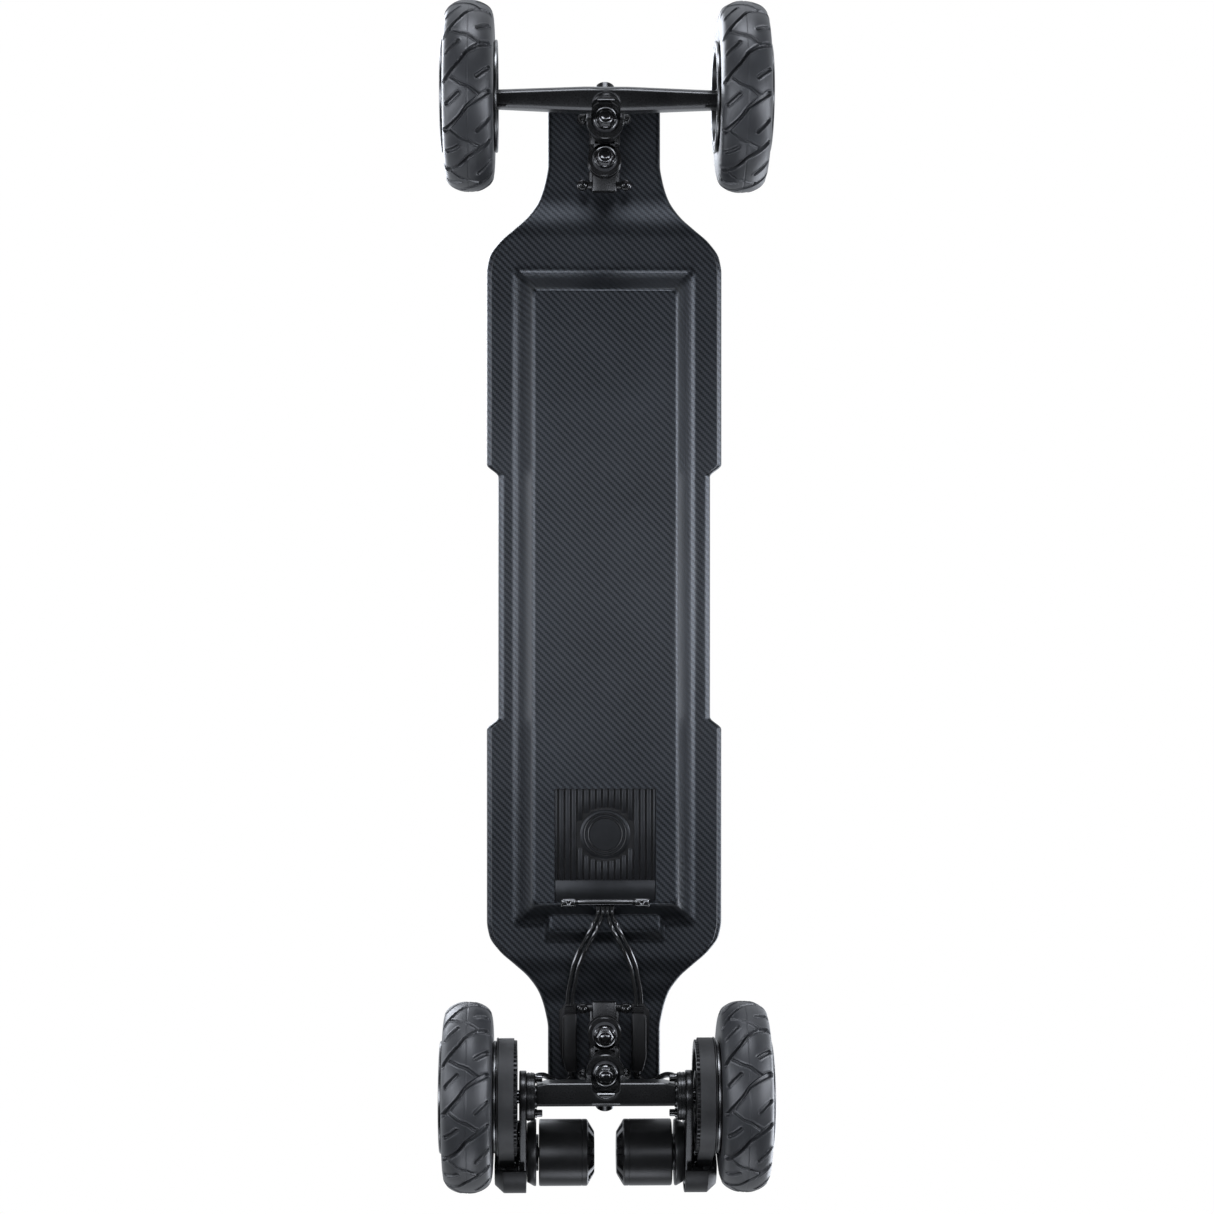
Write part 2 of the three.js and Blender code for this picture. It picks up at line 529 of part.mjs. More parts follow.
// ---- belt drives ----
function toothed(teeth, tip, y, z) {
  const step = (2 * Math.PI) / teeth;
  return Array.from({ length: teeth }, (_, i) => [
    [tip - TOOTH_DEPTH, -0.34], [tip, -0.22], [tip, 0.22], [tip - TOOTH_DEPTH, 0.34],
  ].map(([r, share]) => {
    const a = (i + share) * step;
    return [y + r * Math.cos(a), z + r * Math.sin(a)];
  })).flat();
}

const wheelHub = new THREE.Vector2(-AXLE_Y, AXLE_Z);
const motorHub = new THREE.Vector2(MOTOR_Y, MOTOR_Z);

// The loop that goes tightly round the wheel's axle at radius big and the motor's at small.
function beltLoop(big, small) {
  const line = motorHub.clone().sub(wheelHub);
  const lean = Math.acos((big - small) / line.length());
  const face = line.angle();
  const arc = (centre, r, from, to, steps) => Array.from({ length: steps + 1 }, (_, i) => {
    const a = from + ((to - from) * i) / steps;
    return [centre.x + r * Math.cos(a), centre.y + r * Math.sin(a)];
  });
  return [
    ...arc(wheelHub, big, face + lean, face + 2 * Math.PI - lean, 26),
    ...arc(motorHub, small, face - lean, face + lean, 8),
  ];
}

function drive(side, tag) {
  const s = (x) => side * x;
  const onAxle = (x) => [s(x), -AXLE_Y, AXLE_Z];
  const onMotor = (x) => [s(x), MOTOR_Y, MOTOR_Z];

  const cogs = plate(toothed(WHEEL_TEETH, WHEEL_PULLEY_R, -AXLE_Y, AXLE_Z), s(82.7), s(100));
  const flange = rod(54.5, onAxle(99.8), onAxle(WHEEL_X.rear - RIM_HALF - GAP), 24);
  const bore = rod(18, onAxle(70), onAxle(110), 20);
  piece(`wheel_pulley_${tag}`, cut(fuse(cogs, flange), bore), SATIN);

  const inner = beltLoop(WHEEL_PULLEY_R + 0.32, MOTOR_PULLEY_R + 0.34);
  const outer = beltLoop(WHEEL_PULLEY_R + 0.32 + BELT.thick, MOTOR_PULLEY_R + 0.34 + BELT.thick);
  piece(`drive_belt_${tag}`, plate(outer, s(BELT.x0), s(BELT.x1), [inner]), RUBBER);

  const wall = plate(beltLoop(MOUNT.axleR, MOUNT.motorR), s(MOUNT.x0), s(MOUNT.x1));
  const clamp = rod(MOUNT.clampR, onAxle(66), onAxle(75), 24);
  const clampBolts = CLAMP_BOLTS.map((d) => rod(3.3, [s(59), -AXLE_Y + d, AXLE_Z],
    [s(68), -AXLE_Y + d, AXLE_Z], 8));
  piece(`motor_mount_${tag}`, cut(fuse(wall, clamp, ...clampBolts), rod(10.7, onAxle(50),
    onAxle(90), 24), rod(9, onMotor(60), onMotor(90), 24)), SATIN);

  const flare = cone(MOTOR_BASE.r0, MOTOR_BASE.r1, onMotor(MOTOR_BASE.x0), onMotor(MOTOR_BASE.x1), 24);
  const boss = rod(MOTOR_BASE.bossR, onMotor(MOTOR_BASE.bossX), onMotor(MOTOR_BASE.x0 + 1), 20);
  const base = fuse(flare, boss);
  piece(`motor_base_${tag}`, cut(base, rod(PIN_R + GAP, onMotor(50), onMotor(90), 16)), PLASTIC);

  const shell = [
    [0, 10.8], [17, 10.8], [19.5, 10.3], [30.4, 16.9], [CAN_R, 17.8], [CAN_R, 61.8],
    [30.2, 62.6], [PIN_R, 62.6], [PIN_R, 100.5], [0, 100.5],
  ];
  piece(`motor_can_${tag}`, turned(shell, MOTOR_Y, MOTOR_Z, 24, side), SATIN);

  const smallCogs = plate(toothed(MOTOR_TEETH, MOTOR_PULLEY_R, MOTOR_Y, MOTOR_Z), s(83.5), s(99.8));
  piece(`motor_pulley_${tag}`, cut(smallCogs, rod(PIN_R + GAP, onMotor(70), onMotor(110), 16)), STEEL);

  const toMotor = motorHub.clone().sub(wheelHub).normalize();
  const keep = (reach, depth) => {
    const out = motorHub.clone().addScaledVector(toMotor, reach);
    const low = new THREE.Vector2(-toMotor.y, toMotor.x).multiplyScalar(depth);
    return [out.clone().add(low), out.clone().sub(low)];
  };
  const [a, b] = keep(GUARD_CUT.near, GUARD_CUT.deep);
  const [c, d] = keep(GUARD_CUT.far, GUARD_CUT.deep);
  const away = plate([a, b, d, c].map((p) => [p.x, p.y]), s(60), s(120));
  const { r, faceR, x0, x1, face, wall: thick, roof } = GUARD;
  const guardOuter = rod(r, onMotor(x0), onMotor(x1), 36);
  const guardEdge = cone(r, faceR, onMotor(x1 - 0.1), onMotor(face), 36);
  const guardInner = rod(r - thick, onMotor(x0 - OVER), onMotor(x1 - 1.6), 36);
  const guardTip = cone(r - thick, faceR - 2, onMotor(x1 - 1.7), onMotor(face - roof), 36);
  piece(`belt_guard_${tag}`, cut(fuse(guardOuter, guardEdge), guardInner, guardTip, away), PLASTIC);
}
drive(1, "r");
drive(-1, "l");

export default group;
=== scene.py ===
import math

import bmesh
import bpy
import numpy as np
from mathutils import Matrix, Vector


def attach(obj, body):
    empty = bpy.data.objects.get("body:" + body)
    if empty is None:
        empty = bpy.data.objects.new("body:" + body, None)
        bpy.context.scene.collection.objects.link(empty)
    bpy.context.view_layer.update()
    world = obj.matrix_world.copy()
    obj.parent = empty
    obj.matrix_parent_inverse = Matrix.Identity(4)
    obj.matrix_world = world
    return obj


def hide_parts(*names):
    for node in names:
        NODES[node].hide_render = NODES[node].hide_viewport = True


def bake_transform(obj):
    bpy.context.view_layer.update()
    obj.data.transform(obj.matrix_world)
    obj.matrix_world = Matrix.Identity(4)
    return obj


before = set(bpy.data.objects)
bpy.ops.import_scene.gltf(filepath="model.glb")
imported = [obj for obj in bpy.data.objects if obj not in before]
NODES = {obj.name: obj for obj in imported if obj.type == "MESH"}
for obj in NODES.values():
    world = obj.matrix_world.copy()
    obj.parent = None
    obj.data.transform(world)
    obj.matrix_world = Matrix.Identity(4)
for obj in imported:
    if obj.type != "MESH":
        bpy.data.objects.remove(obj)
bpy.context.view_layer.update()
MM = 0.001

# ---------- node helpers ----------

GRAIN_HEIGHT = 0.00006
COAT_ROUGHNESS = 0.2


def material(name):
    mat = bpy.data.materials.new(name)
    mat.use_nodes = True
    tree = mat.node_tree
    tree.nodes.clear()
    out = tree.nodes.new("ShaderNodeOutputMaterial")
    shader = tree.nodes.new("ShaderNodeBsdfPrincipled")
    tree.links.new(shader.outputs[0], out.inputs[0])
    coords = tree.nodes.new("ShaderNodeTexCoord").outputs["Object"]
    return mat, tree, shader, coords


def math_node(tree, op, a, b=None):
    node = tree.nodes.new("ShaderNodeMath")
    node.operation = op
    for k, v in enumerate((a, b)):
        if isinstance(v, (int, float)):
            node.inputs[k].default_value = v
        elif v is not None:
            tree.links.new(v, node.inputs[k])
    return node.outputs[0]


def noise(tree, coords, scale, detail=4.0):
    node = tree.nodes.new("ShaderNodeTexNoise")
    node.inputs["Scale"].default_value = scale
    node.inputs["Detail"].default_value = detail
    node.inputs["Roughness"].default_value = 0.55
    tree.links.new(coords, node.inputs["Vector"])
    return node.outputs["Fac"]


def ramp(tree, fac, lo, hi, a=0.3, b=0.7):
    node = tree.nodes.new("ShaderNodeValToRGB")
    for stop, at, colour in zip(node.color_ramp.elements, (a, b), (lo, hi)):
        stop.position = at
        stop.color = (*colour, 1)
    tree.links.new(fac, node.inputs[0])
    return node.outputs[0]


def spread(tree, fac, lo, hi):
    node = tree.nodes.new("ShaderNodeMapRange")
    node.inputs["To Min"].default_value = lo
    node.inputs["To Max"].default_value = hi
    node.inputs["From Min"].default_value = 0.3
    node.inputs["From Max"].default_value = 0.7
    tree.links.new(fac, node.inputs[0])
    return node.outputs[0]


def bump(tree, shader, height, strength, distance):
    node = tree.nodes.new("ShaderNodeBump")
    node.inputs["Strength"].default_value = strength
    node.inputs["Distance"].default_value = distance
    tree.links.new(height, node.inputs["Height"])
    tree.links.new(node.outputs[0], shader.inputs["Normal"])


def surface(name, lo, hi, rough, metal=0.0, scale=60, grain=900, depth=0.2, coat=0.0, level=0.5):
    """A finish whose colour, gloss and fine grain all vary over the surface."""
    mat, tree, shader, coords = material(name)
    broad = noise(tree, coords, scale)
    fine = noise(tree, coords, grain, 2.0)
    tree.links.new(ramp(tree, broad, lo, hi), shader.inputs["Base Color"])
    tree.links.new(spread(tree, fine, rough[0], rough[1]), shader.inputs["Roughness"])
    shader.inputs["Metallic"].default_value = metal
    shader.inputs["Specular IOR Level"].default_value = level
    shader.inputs["Coat Weight"].default_value = coat
    shader.inputs["Coat Roughness"].default_value = COAT_ROUGHNESS
    bump(tree, shader, fine, depth, GRAIN_HEIGHT)
    return mat


def grey(v, tint=(1, 1, 1)):
    return tuple(v * t for t in tint)


def carbon():
    """Two by two twill under a satin lacquer. The wales run across both fibre directions."""
    mat, tree, shader, coords = material("carbon_twill")

    def op(kind, a, b=None):
        return math_node(tree, kind, a, b)

    split = tree.nodes.new("ShaderNodeSeparateXYZ")
    tree.links.new(coords, split.inputs[0])
    tow = 1.62 * MM
    u = op("DIVIDE", split.outputs[0], tow)
    v = op("DIVIDE", split.outputs[1], tow)
    step = op("FLOORED_MODULO", op("SUBTRACT", op("FLOOR", u), op("FLOOR", v)), 4.0)
    warp = op("LESS_THAN", step, 1.5)
    weft = op("SUBTRACT", 1.0, warp)
    across_u = op("SINE", op("MULTIPLY", op("FRACT", u), math.pi))
    across_v = op("SINE", op("MULTIPLY", op("FRACT", v), math.pi))
    height = op("ADD", op("MULTIPLY", across_u, warp), op("MULTIPLY", across_v, weft))
    streak = noise(tree, coords, 700, 3.0)
    cloud = noise(tree, coords, 9, 3.0)
    # The warp tows are painted lighter than the weft: painted sheen for the fibres' directional reflection.
    # The streaks and clouds are the fibre's own tone, varying at random.
    sheen_and_tone = op("ADD", op("MULTIPLY", warp, 0.46), op("MULTIPLY", streak, 0.32))
    sheen_and_tone = op("ADD", sheen_and_tone, op("MULTIPLY", cloud, 0.35))
    tree.links.new(ramp(tree, sheen_and_tone, (0.004, 0.0046, 0.0054), (0.046, 0.0505, 0.057), 0.15, 1.0),
                   shader.inputs["Base Color"])
    rough = op("ADD", op("MULTIPLY", warp, 0.09), op("MULTIPLY", cloud, 0.12))
    tree.links.new(op("ADD", rough, 0.27), shader.inputs["Roughness"])
    shader.inputs["Metallic"].default_value = 0.8
    shader.inputs["Coat Weight"].default_value = 0.14
    shader.inputs["Coat Roughness"].default_value = 0.16
    bump(tree, shader, height, 0.35, 0.00012)
    return mat


def grit():
    mat, tree, shader, coords = material("grip_grit")
    cells = tree.nodes.new("ShaderNodeTexVoronoi")
    cells.inputs["Scale"].default_value = 1400
    tree.links.new(coords, cells.inputs["Vector"])
    broad = noise(tree, coords, 25)
    mix = math_node(tree, "ADD", math_node(tree, "MULTIPLY", cells.outputs["Distance"], 0.7),
                    math_node(tree, "MULTIPLY", broad, 0.4))
    tree.links.new(ramp(tree, mix, (0.006, 0.006, 0.006), (0.045, 0.045, 0.047), 0.2, 0.9),
                   shader.inputs["Base Color"])
    shader.inputs["Roughness"].default_value = 0.9
    bump(tree, shader, cells.outputs["Distance"], 0.9, 0.0005)
    return mat


CARBON = carbon()
GRIT = grit()
COOL = (0.94, 0.98, 1.06)
COOLER = (0.95, 1, 1.08)
TYRE = surface("tyre_rubber", grey(0.015, COOL), grey(0.025, COOL), (0.37, 0.48), 0, 30, 1500, 0.22)
CABLE = surface("cable_skin", grey(0.006), grey(0.011), (0.16, 0.26), 0, 80, 1200, 0.06, 1.0)
BELT = surface("belt_rubber", grey(0.012), grey(0.022), (0.5, 0.65), 0, 90, 2200, 0.4)
SATIN = surface("satin_black", grey(0.010), grey(0.017), (0.28, 0.4), 0.5, 40, 1600, 0.22)
CAST = surface("cast_black", grey(0.006), grey(0.012), (0.24, 0.36), 0.4, 30, 900, 0.3, 0.35, level=0.35)
HEAT = surface("anodised_grey", grey(0.011, COOLER), grey(0.019, COOLER), (0.28, 0.4), 0.7, 50, 1800, 0.2)
# Near-black for the groove floors behind the fins: painted shade.
GROOVE_SHADE = surface("groove_painted_shade", grey(0.0015), grey(0.003), (0.7, 0.85), 0, 50, 1800, 0.2)
PLASTIC = surface("moulded_black", grey(0.004), grey(0.008), (0.36, 0.48), 0, 60, 2600, 0.3, level=0.2)
TRIM = surface("trim_plastic", grey(0.016), grey(0.026), (0.4, 0.52), 0, 60, 2600, 0.3)
GLOSS = surface("gloss_black_steel", grey(0.05), grey(0.09), (0.1, 0.18), 1.0, 60, 1400, 0.08, 1.0)
STEEL = surface("bright_steel", grey(0.5), grey(0.66), (0.16, 0.28), 1.0, 70, 1800, 0.1)
EDGE_ALLOY = surface("turned_edge", grey(0.12), grey(0.18), (0.24, 0.34), 1.0, 60, 1700, 0.12)
DARK_ALLOY = surface("dark_alloy", grey(0.028), grey(0.05), (0.28, 0.4), 0.8, 60, 1700, 0.15)
BUSH = surface("bushing_urethane", (0.03, 0.03, 0.032), (0.05, 0.05, 0.052), (0.4, 0.5), 0, 90, 1500, 0.1)
CELLS = surface("pack_film", (0.03, 0.12, 0.35), (0.05, 0.17, 0.45), (0.25, 0.4), 0, 40, 900, 0.2)
BOARD = surface("solder_mask", (0.01, 0.1, 0.04), (0.02, 0.15, 0.06), (0.3, 0.4), 0, 60, 900, 0.1)
FLOOR = surface("pale_floor", grey(0.74), grey(0.78), (0.7, 0.8), 0, 3, 200, 0.02)

# ---------- mesh helpers (millimetres in, metres out) ----------


def join(parts):
    verts, faces, base = [], [], 0
    for v, f in parts:
        verts.append(np.asarray(v, float))
        faces += [tuple(i + base for i in face) for face in f]
        base += len(v)
    return np.concatenate(verts), faces


def grid_faces(rows, cols, wrap_rows=False, wrap_cols=True):
    r = np.arange(rows if wrap_rows else rows - 1)
    c = np.arange(cols if wrap_cols else cols - 1)
    r, c = np.meshgrid(r, c, indexing="ij")
    r1, c1 = (r + 1) % rows, (c + 1) % cols
    quads = np.stack([r * cols + c, r * cols + c1, r1 * cols + c1, r1 * cols + c], -1)
    return [tuple(q) for q in quads.reshape(-1, 4).tolist()]


def loft(rings):
    rings = np.asarray(rings, float)
    rows, cols = rings.shape[:2]
    faces = grid_faces(rows, cols)
    faces += [tuple(range(cols)), tuple(range((rows - 1) * cols, rows * cols))]
    return rings.reshape(-1, 3), faces


def distance(p, q):
    return np.linalg.norm(np.asarray(q, float) - np.asarray(p, float))


def frame_of(p, q):
    d = np.asarray(q, float) - np.asarray(p, float)
    d /= np.linalg.norm(d)
    side = np.cross(d, [1, 0, 0] if abs(d[0]) < 0.9 else [0, 1, 0])
    side /= np.linalg.norm(side)
    return d, side, np.cross(d, side)


def lathe(p, q, profile, n=64, closed=False):
    """(radius, distance) pairs turned about the line from p towards q."""
    d, s, t = frame_of(p, q)
    angles = np.arange(n) * 2 * math.pi / n + math.pi / n
    prof = np.asarray(profile, float)
    ring = np.cos(angles)[:, None] * s + np.sin(angles)[:, None] * t
    pts = np.asarray(p, float) + prof[:, 1][:, None, None] * d + prof[:, 0][:, None, None] * ring[None]
    if closed:
        return pts.reshape(-1, 3), grid_faces(len(prof), n, wrap_rows=True)
    return loft(pts)


def rod(p, q, r, r1=None, n=48, c=0.5):
    r1 = r if r1 is None else r1
    h = distance(p, q)
    return lathe(p, q, [(r - c, 0), (r, c), (r1, h - c), (r1 - c, h)], n)


def hexagon(p, q, r, c=0.8):
    return rod(p, q, r, None, 6, c)


def pipe(p, q, r_in, r_out, n=64, c=0.5):
    h = distance(p, q)
    return lathe(p, q, [(r_in, 0), (r_out - c, 0), (r_out, c), (r_out, h - c), (r_out - c, h), (r_in, h)],
                 n, closed=True)


def spaced(n, skip=0.0, turn=0.0):
    """The cosine and sine of n evenly spaced angles."""
    angles = [2 * math.pi * (k + skip) / n + turn for k in range(n)]
    return [(math.cos(a), math.sin(a)) for a in angles]


def run_length(line):
    """How far along a line each of its points is."""
    return np.concatenate([[0], np.cumsum(np.hypot(*np.diff(line, axis=0).T))])


def slab(x0, x1, y0, y1, z0, z1):
    xs, ys, zs = sorted((x0, x1)), sorted((y0, y1)), sorted((z0, z1))
    v = [(x, y, z) for z in zs for y in ys for x in xs]
    sides = [(0, 2, 3, 1), (4, 5, 7, 6), (0, 1, 5, 4), (2, 6, 7, 3), (0, 4, 6, 2), (1, 3, 7, 5)]
    return np.array(v, float), sides


def prism(outline, x0, x1):
    """An outline of (y, z) drawn out along X."""
    return loft([[(x, y, z) for y, z in outline] for x in (x0, x1)])


def panel(outline, z0, z1):
    """An outline of (x, y) drawn up from z0 to z1."""
    return loft([[(x, y, z) for x, y in outline] for z in (z0, z1)])


def band(outer, inner, x0, x1):
    """A ring between two outlines of (y, z) with the same count, drawn out along X."""
    rows = [[(x, y, z) for y, z in loop] for x, loop in ((x0, outer), (x1, outer), (x1, inner), (x0, inner))]
    rings = np.asarray(rows, float)
    return rings.reshape(-1, 3), grid_faces(4, rings.shape[1], wrap_rows=True)


def curve(points, steps):
    p = np.asarray(points, float)
    p = np.vstack([2 * p[0] - p[1], p, 2 * p[-1] - p[-2]])
    out = []
    for k in range(1, len(p) - 2):
        for t in np.linspace(0, 1, steps, endpoint=False):
            a, b, c, d = p[k - 1:k + 3]
            out.append(0.5 * (2 * b + (c - a) * t + (2 * a - 5 * b + 4 * c - d) * t ** 2
                              + (3 * b - a - 3 * c + d) * t ** 3))
    out.append(p[-2])
    return np.array(out)


def tube(points, r, steps=10):
    path = curve(points, steps)
    rings = []
    tangents = np.gradient(path, axis=0)
    tangents /= np.linalg.norm(tangents, axis=1)[:, None]
    side = np.cross(tangents[0], [0.3, 0.2, 1])
    angles = np.arange(20) * 2 * math.pi / 20
    for at, tan in zip(path, tangents):
        side = side - tan * (side @ tan)
        side /= np.linalg.norm(side)
        up = np.cross(tan, side)
        rings.append(at + r * (np.cos(angles)[:, None] * side + np.sin(angles)[:, None] * up))
    return loft(rings)


def outward(mesh):
    """A bmesh of the mesh with every face turned outwards."""
    bm = bmesh.new()
    bm.from_mesh(mesh)
    bmesh.ops.recalc_face_normals(bm, faces=bm.faces)
    return bm


def piece(name, shape, mat, body, stands=(), sharp=34):
    """One named piece."""
    verts, faces = shape
    mesh = bpy.data.meshes.new(name)
    mesh.from_pydata((np.asarray(verts) * MM).tolist(), [], faces)
    mesh.validate()
    bm = outward(mesh)
    limit = math.radians(sharp)
    for f in bm.faces:
        f.smooth = True
    for e in bm.edges:
        e.smooth = not (len(e.link_faces) == 2 and e.calc_face_angle(0) > limit)
    bm.to_mesh(mesh)
    bm.free()
    mesh.materials.append(mat)
    obj = bpy.data.objects.new(name, mesh)
    bpy.context.scene.collection.objects.link(obj)
    if isinstance(body, str):
        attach(obj, body)
    if stands:
        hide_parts(*([stands] if isinstance(stands, str) else stands))
    return obj


def bevelled(shape, width, segs=2):
    """The same solid with its sharp edges rounded."""
    verts, faces = shape
    mesh = bpy.data.meshes.new("tmp")
    mesh.from_pydata(np.asarray(verts).tolist(), [], faces)
    bm = outward(mesh)
    edges = [e for e in bm.edges if len(e.link_faces) == 2 and e.calc_face_angle(0) > 0.5]
    bmesh.ops.bevel(bm, geom=edges, offset=width, segments=segs, profile=0.5,
                    affect="EDGES", clamp_overlap=True)
    v = np.array([p.co[:] for p in bm.verts])
    bm.verts.index_update()
    f = [tuple(q.index for q in face.verts) for face in bm.faces]
    bm.free()
    bpy.data.meshes.remove(mesh)
    return v, f


def carve(obj, shape):
    """Cuts a solid out of a piece and applies the cut."""
    tool = bpy.data.objects.new("tool", bpy.data.meshes.new("tool"))
    tool.data.from_pydata((np.asarray(shape[0]) * MM).tolist(), [], shape[1])
    bpy.context.scene.collection.objects.link(tool)
    bm = outward(tool.data)
    bm.to_mesh(tool.data)
    bm.free()
    mod = obj.modifiers.new("cut", "BOOLEAN")
    mod.operation = "DIFFERENCE"
    mod.solver = "EXACT"
    mod.object = tool
    bpy.context.view_layer.update()
    done = bpy.data.meshes.new_from_object(obj.evaluated_get(bpy.context.evaluated_depsgraph_get()))
    obj.modifiers.clear()
    obj.data = done
    bpy.data.objects.remove(tool)


# ---------- dimensions shared with the CAD ----------

TYRE_R = 87.5
AXLE_Y, AXLE_Z = 465.3, TYRE_R
BOLT_Y, NECK_Z = 426.7, 165.0  # middle of a truck's bolts, and the deck's underside there
BOLT_DX, BOLT_DY = 20.65, 31.75
AXLE_U, AXLE_V = AXLE_Y - BOLT_Y, NECK_Z - AXLE_Z
BEAM_U = AXLE_U - 3
FACE_Z = 118.0
WHEEL_X = {"front": 126.8, "rear": 128.2}
MOTOR = (-524.3, 120.0)

THICK, EDGE, TOP_EDGE = 12.5, 5.0, 4
END_Y, CORNER_RUN, CORNER_IN = 480, 14, 10
SLOPE_Y, SLOPE_RUN, PLATFORM_DROP = 343, 48, 13
BOX_X, BOX_Y, BOX_DEEP = 83, 309, 34
RIM_X, RIM_RUN, RIM_RISE = 86, 26, 2.6
HUMP_X, HUMP_Y, HUMP_END, HUMP_DEEP = 57, -329, -285, 12
WELL_X, WELL_Y, WELL_DEEP = 47.75, (-287.3, -180.7), 3.3
SLOT_X, SLOT_Y, SLOT_Z = 11, (-306, -290), 127
OUTLINE = [(0, 101.5), (115, 101.5), (127, 112.5), (310, 112.5), (325, 110), (339, 100.5), (352, 86),
           (364, 73.5), (382, 62), (402, 56), (415, 54), (470, 54), (END_Y, 54)]

GRIP_IN, GRIP_GAP, GRIP_THICK = 6, 0.3, 1.2
TOP = NECK_Z - PLATFORM_DROP + THICK + (GRIP_GAP + GRIP_THICK)
LID_X, LID_Y = 66, (-288, -243.7)
PORT, PORT_R = (30, -262), 7.0
BUTTON, BUTTON_R = (-30, -262), 8.0
COVER_Y, FIN_TOP = -224.0, FACE_Z + 2.5
CLAMP_X, CLAMP_Y = 34.6, -288.2


def monotone(points, x):
    xs, ys = np.array(points, float).T
    h = np.diff(xs)
    s = np.diff(ys) / h
    m = np.zeros(len(xs))
    m[0], m[-1] = s[0], s[-1]
    for k in range(1, len(xs) - 1):
        if s[k - 1] * s[k] > 0:
            w1, w2 = 2 * h[k] + h[k - 1], h[k] + 2 * h[k - 1]
            m[k] = (w1 + w2) / (w1 / s[k - 1] + w2 / s[k])
    k = np.clip(np.searchsorted(xs, x, side="right") - 1, 0, len(h) - 1)
    t = (x - xs[k]) / h[k]
    return ((1 + 2 * t) * (1 - t) ** 2 * ys[k] + t * (1 - t) ** 2 * h[k] * m[k]
            + t * t * (3 - 2 * t) * ys[k + 1] + t * t * (t - 1) * h[k] * m[k + 1])


def half_width(y):
    a = np.abs(np.asarray(y, float))
    w = monotone(OUTLINE, a)
    corner = np.clip((a - (END_Y - CORNER_RUN)) / CORNER_RUN, 0, 1)
    return w - CORNER_IN * (1 - np.sqrt(1 - corner ** 2 * 0.995))


def base_z(y):
    t = np.clip((np.abs(y) - SLOPE_Y) / SLOPE_RUN, 0, 1)
    return NECK_Z - PLATFORM_DROP * (1 - t * t * (3 - 2 * t))


def rim_rise(x):
    return RIM_RISE * np.clip((np.abs(x) - RIM_X) / RIM_RUN, 0, 1) ** 1.5


def smin(a, b, k):
    """The smaller of two values, rounded where they meet."""
    h = np.clip(0.5 + 0.5 * (b - a) / k, 0, 1)
    return b * (1 - h) + a * h - k * h * (1 - h)


def underside(x, y):
    """The lower skin: the battery box and the hump behind it stand down from the platform."""
    a, base = np.abs(y), base_z(y)
    f = smin(smin((BOX_X - np.abs(x)) / 15, (BOX_Y - a) / 19, 0.3), 1.0, 0.12)
    f = -smin(-f, 0.0, 0.35)
    z = base - BOX_DEEP * f + rim_rise(x)
    g = smin(smin((HUMP_X - np.abs(x)) / 5, (y - HUMP_Y) / 11, 0.3), 1.0, 0.2)
    g = np.where(y < HUMP_END, -smin(-g, 0.0, 0.2), 0)
    z = np.minimum(z, base - HUMP_DEEP * g)
    well = (np.abs(x) < WELL_X) & (y > WELL_Y[0]) & (y < WELL_Y[1])
    z = np.where(well, FACE_Z + WELL_DEEP, z)
    slot = (np.abs(x) < SLOT_X) & (y > SLOT_Y[0]) & (y < SLOT_Y[1])
    return np.where(slot, np.maximum(z, SLOT_Z), z)


# ---------- deck ----------


def deck_mesh():
    step = 3.0
    nip_y = END_Y - 0.9
    corner = np.arange(END_Y - CORNER_RUN, END_Y, 1.0)
    ys = set(np.arange(-478, 478.1, step).round(2).tolist())
    for edge in (*SLOT_Y, *WELL_Y):
        ys |= {edge - 0.05, edge + 0.05}
    for s in (-1, 1):
        ys |= set((s * np.arange(284, 314, 1.0)).tolist()) | set((s * np.arange(112, 130, 1.5)).tolist())
        ys |= {s * 479.2, s * 480.0} | set((s * corner).tolist())
    ys |= set(np.arange(-332, -316, 1.0).tolist())
    ys = np.array(sorted(ys))
    inner = np.array([0, 6, 10.95, 11.05, 16, 24, 32, 40, 47.7, 47.8])
    outer = np.linspace(0, 1, 42)[1:]
    arc = np.linspace(0, math.pi / 2, 7)[1:]
    rings = []
    for y in ys:
        w = float(half_width(y))
        flat = w - EDGE
        xin = inner * min(1.0, (flat - 0.8) / inner[-1])
        half = np.concatenate([xin, xin[-1] + (flat - xin[-1]) * outer])
        bx = np.concatenate([-half[:0:-1], half])
        nip = max(0.0, abs(y) - nip_y)
        bz = underside(bx, np.full_like(bx, y)) + nip
        low = float(base_z(y)) + float(rim_rise(flat))
        top = float(base_z(y)) + THICK - nip
        side_x = np.concatenate([flat + EDGE * np.sin(arc), [w], w - TOP_EDGE + TOP_EDGE * np.cos(arc)])
        side_z = np.concatenate([low + nip + EDGE * (1 - np.cos(arc)), [top - TOP_EDGE],
                                 top - TOP_EDGE + TOP_EDGE * np.sin(arc)])
        ring_x = np.concatenate([bx, side_x, [w / 2, 0, -w / 2], -side_x[::-1]])
        ring_z = np.concatenate([bz, side_z, [top, top, top], side_z[::-1]])
        rings.append(np.stack([ring_x, np.full_like(ring_x, y), ring_z], -1))
    return loft(rings)


def grip_mesh():
    corner = np.arange(END_Y - CORNER_RUN, 477, 1.0)
    rings = []
    for y in np.unique(np.concatenate([np.linspace(-476, 476, 240), corner, -corner])):
        w = float(half_width(y)) - GRIP_IN
        low = float(base_z(y)) + THICK + GRIP_GAP
        high = low + GRIP_THICK
        rings.append([(x, y, low) for x in (-w, -w / 2, 0, w / 2, w)] + [(w - 0.4, y, high)]
                     + [(x, y, high) for x in (w / 2, 0, -w / 2)] + [(-w + 0.4, y, high)])
    return loft(rings)


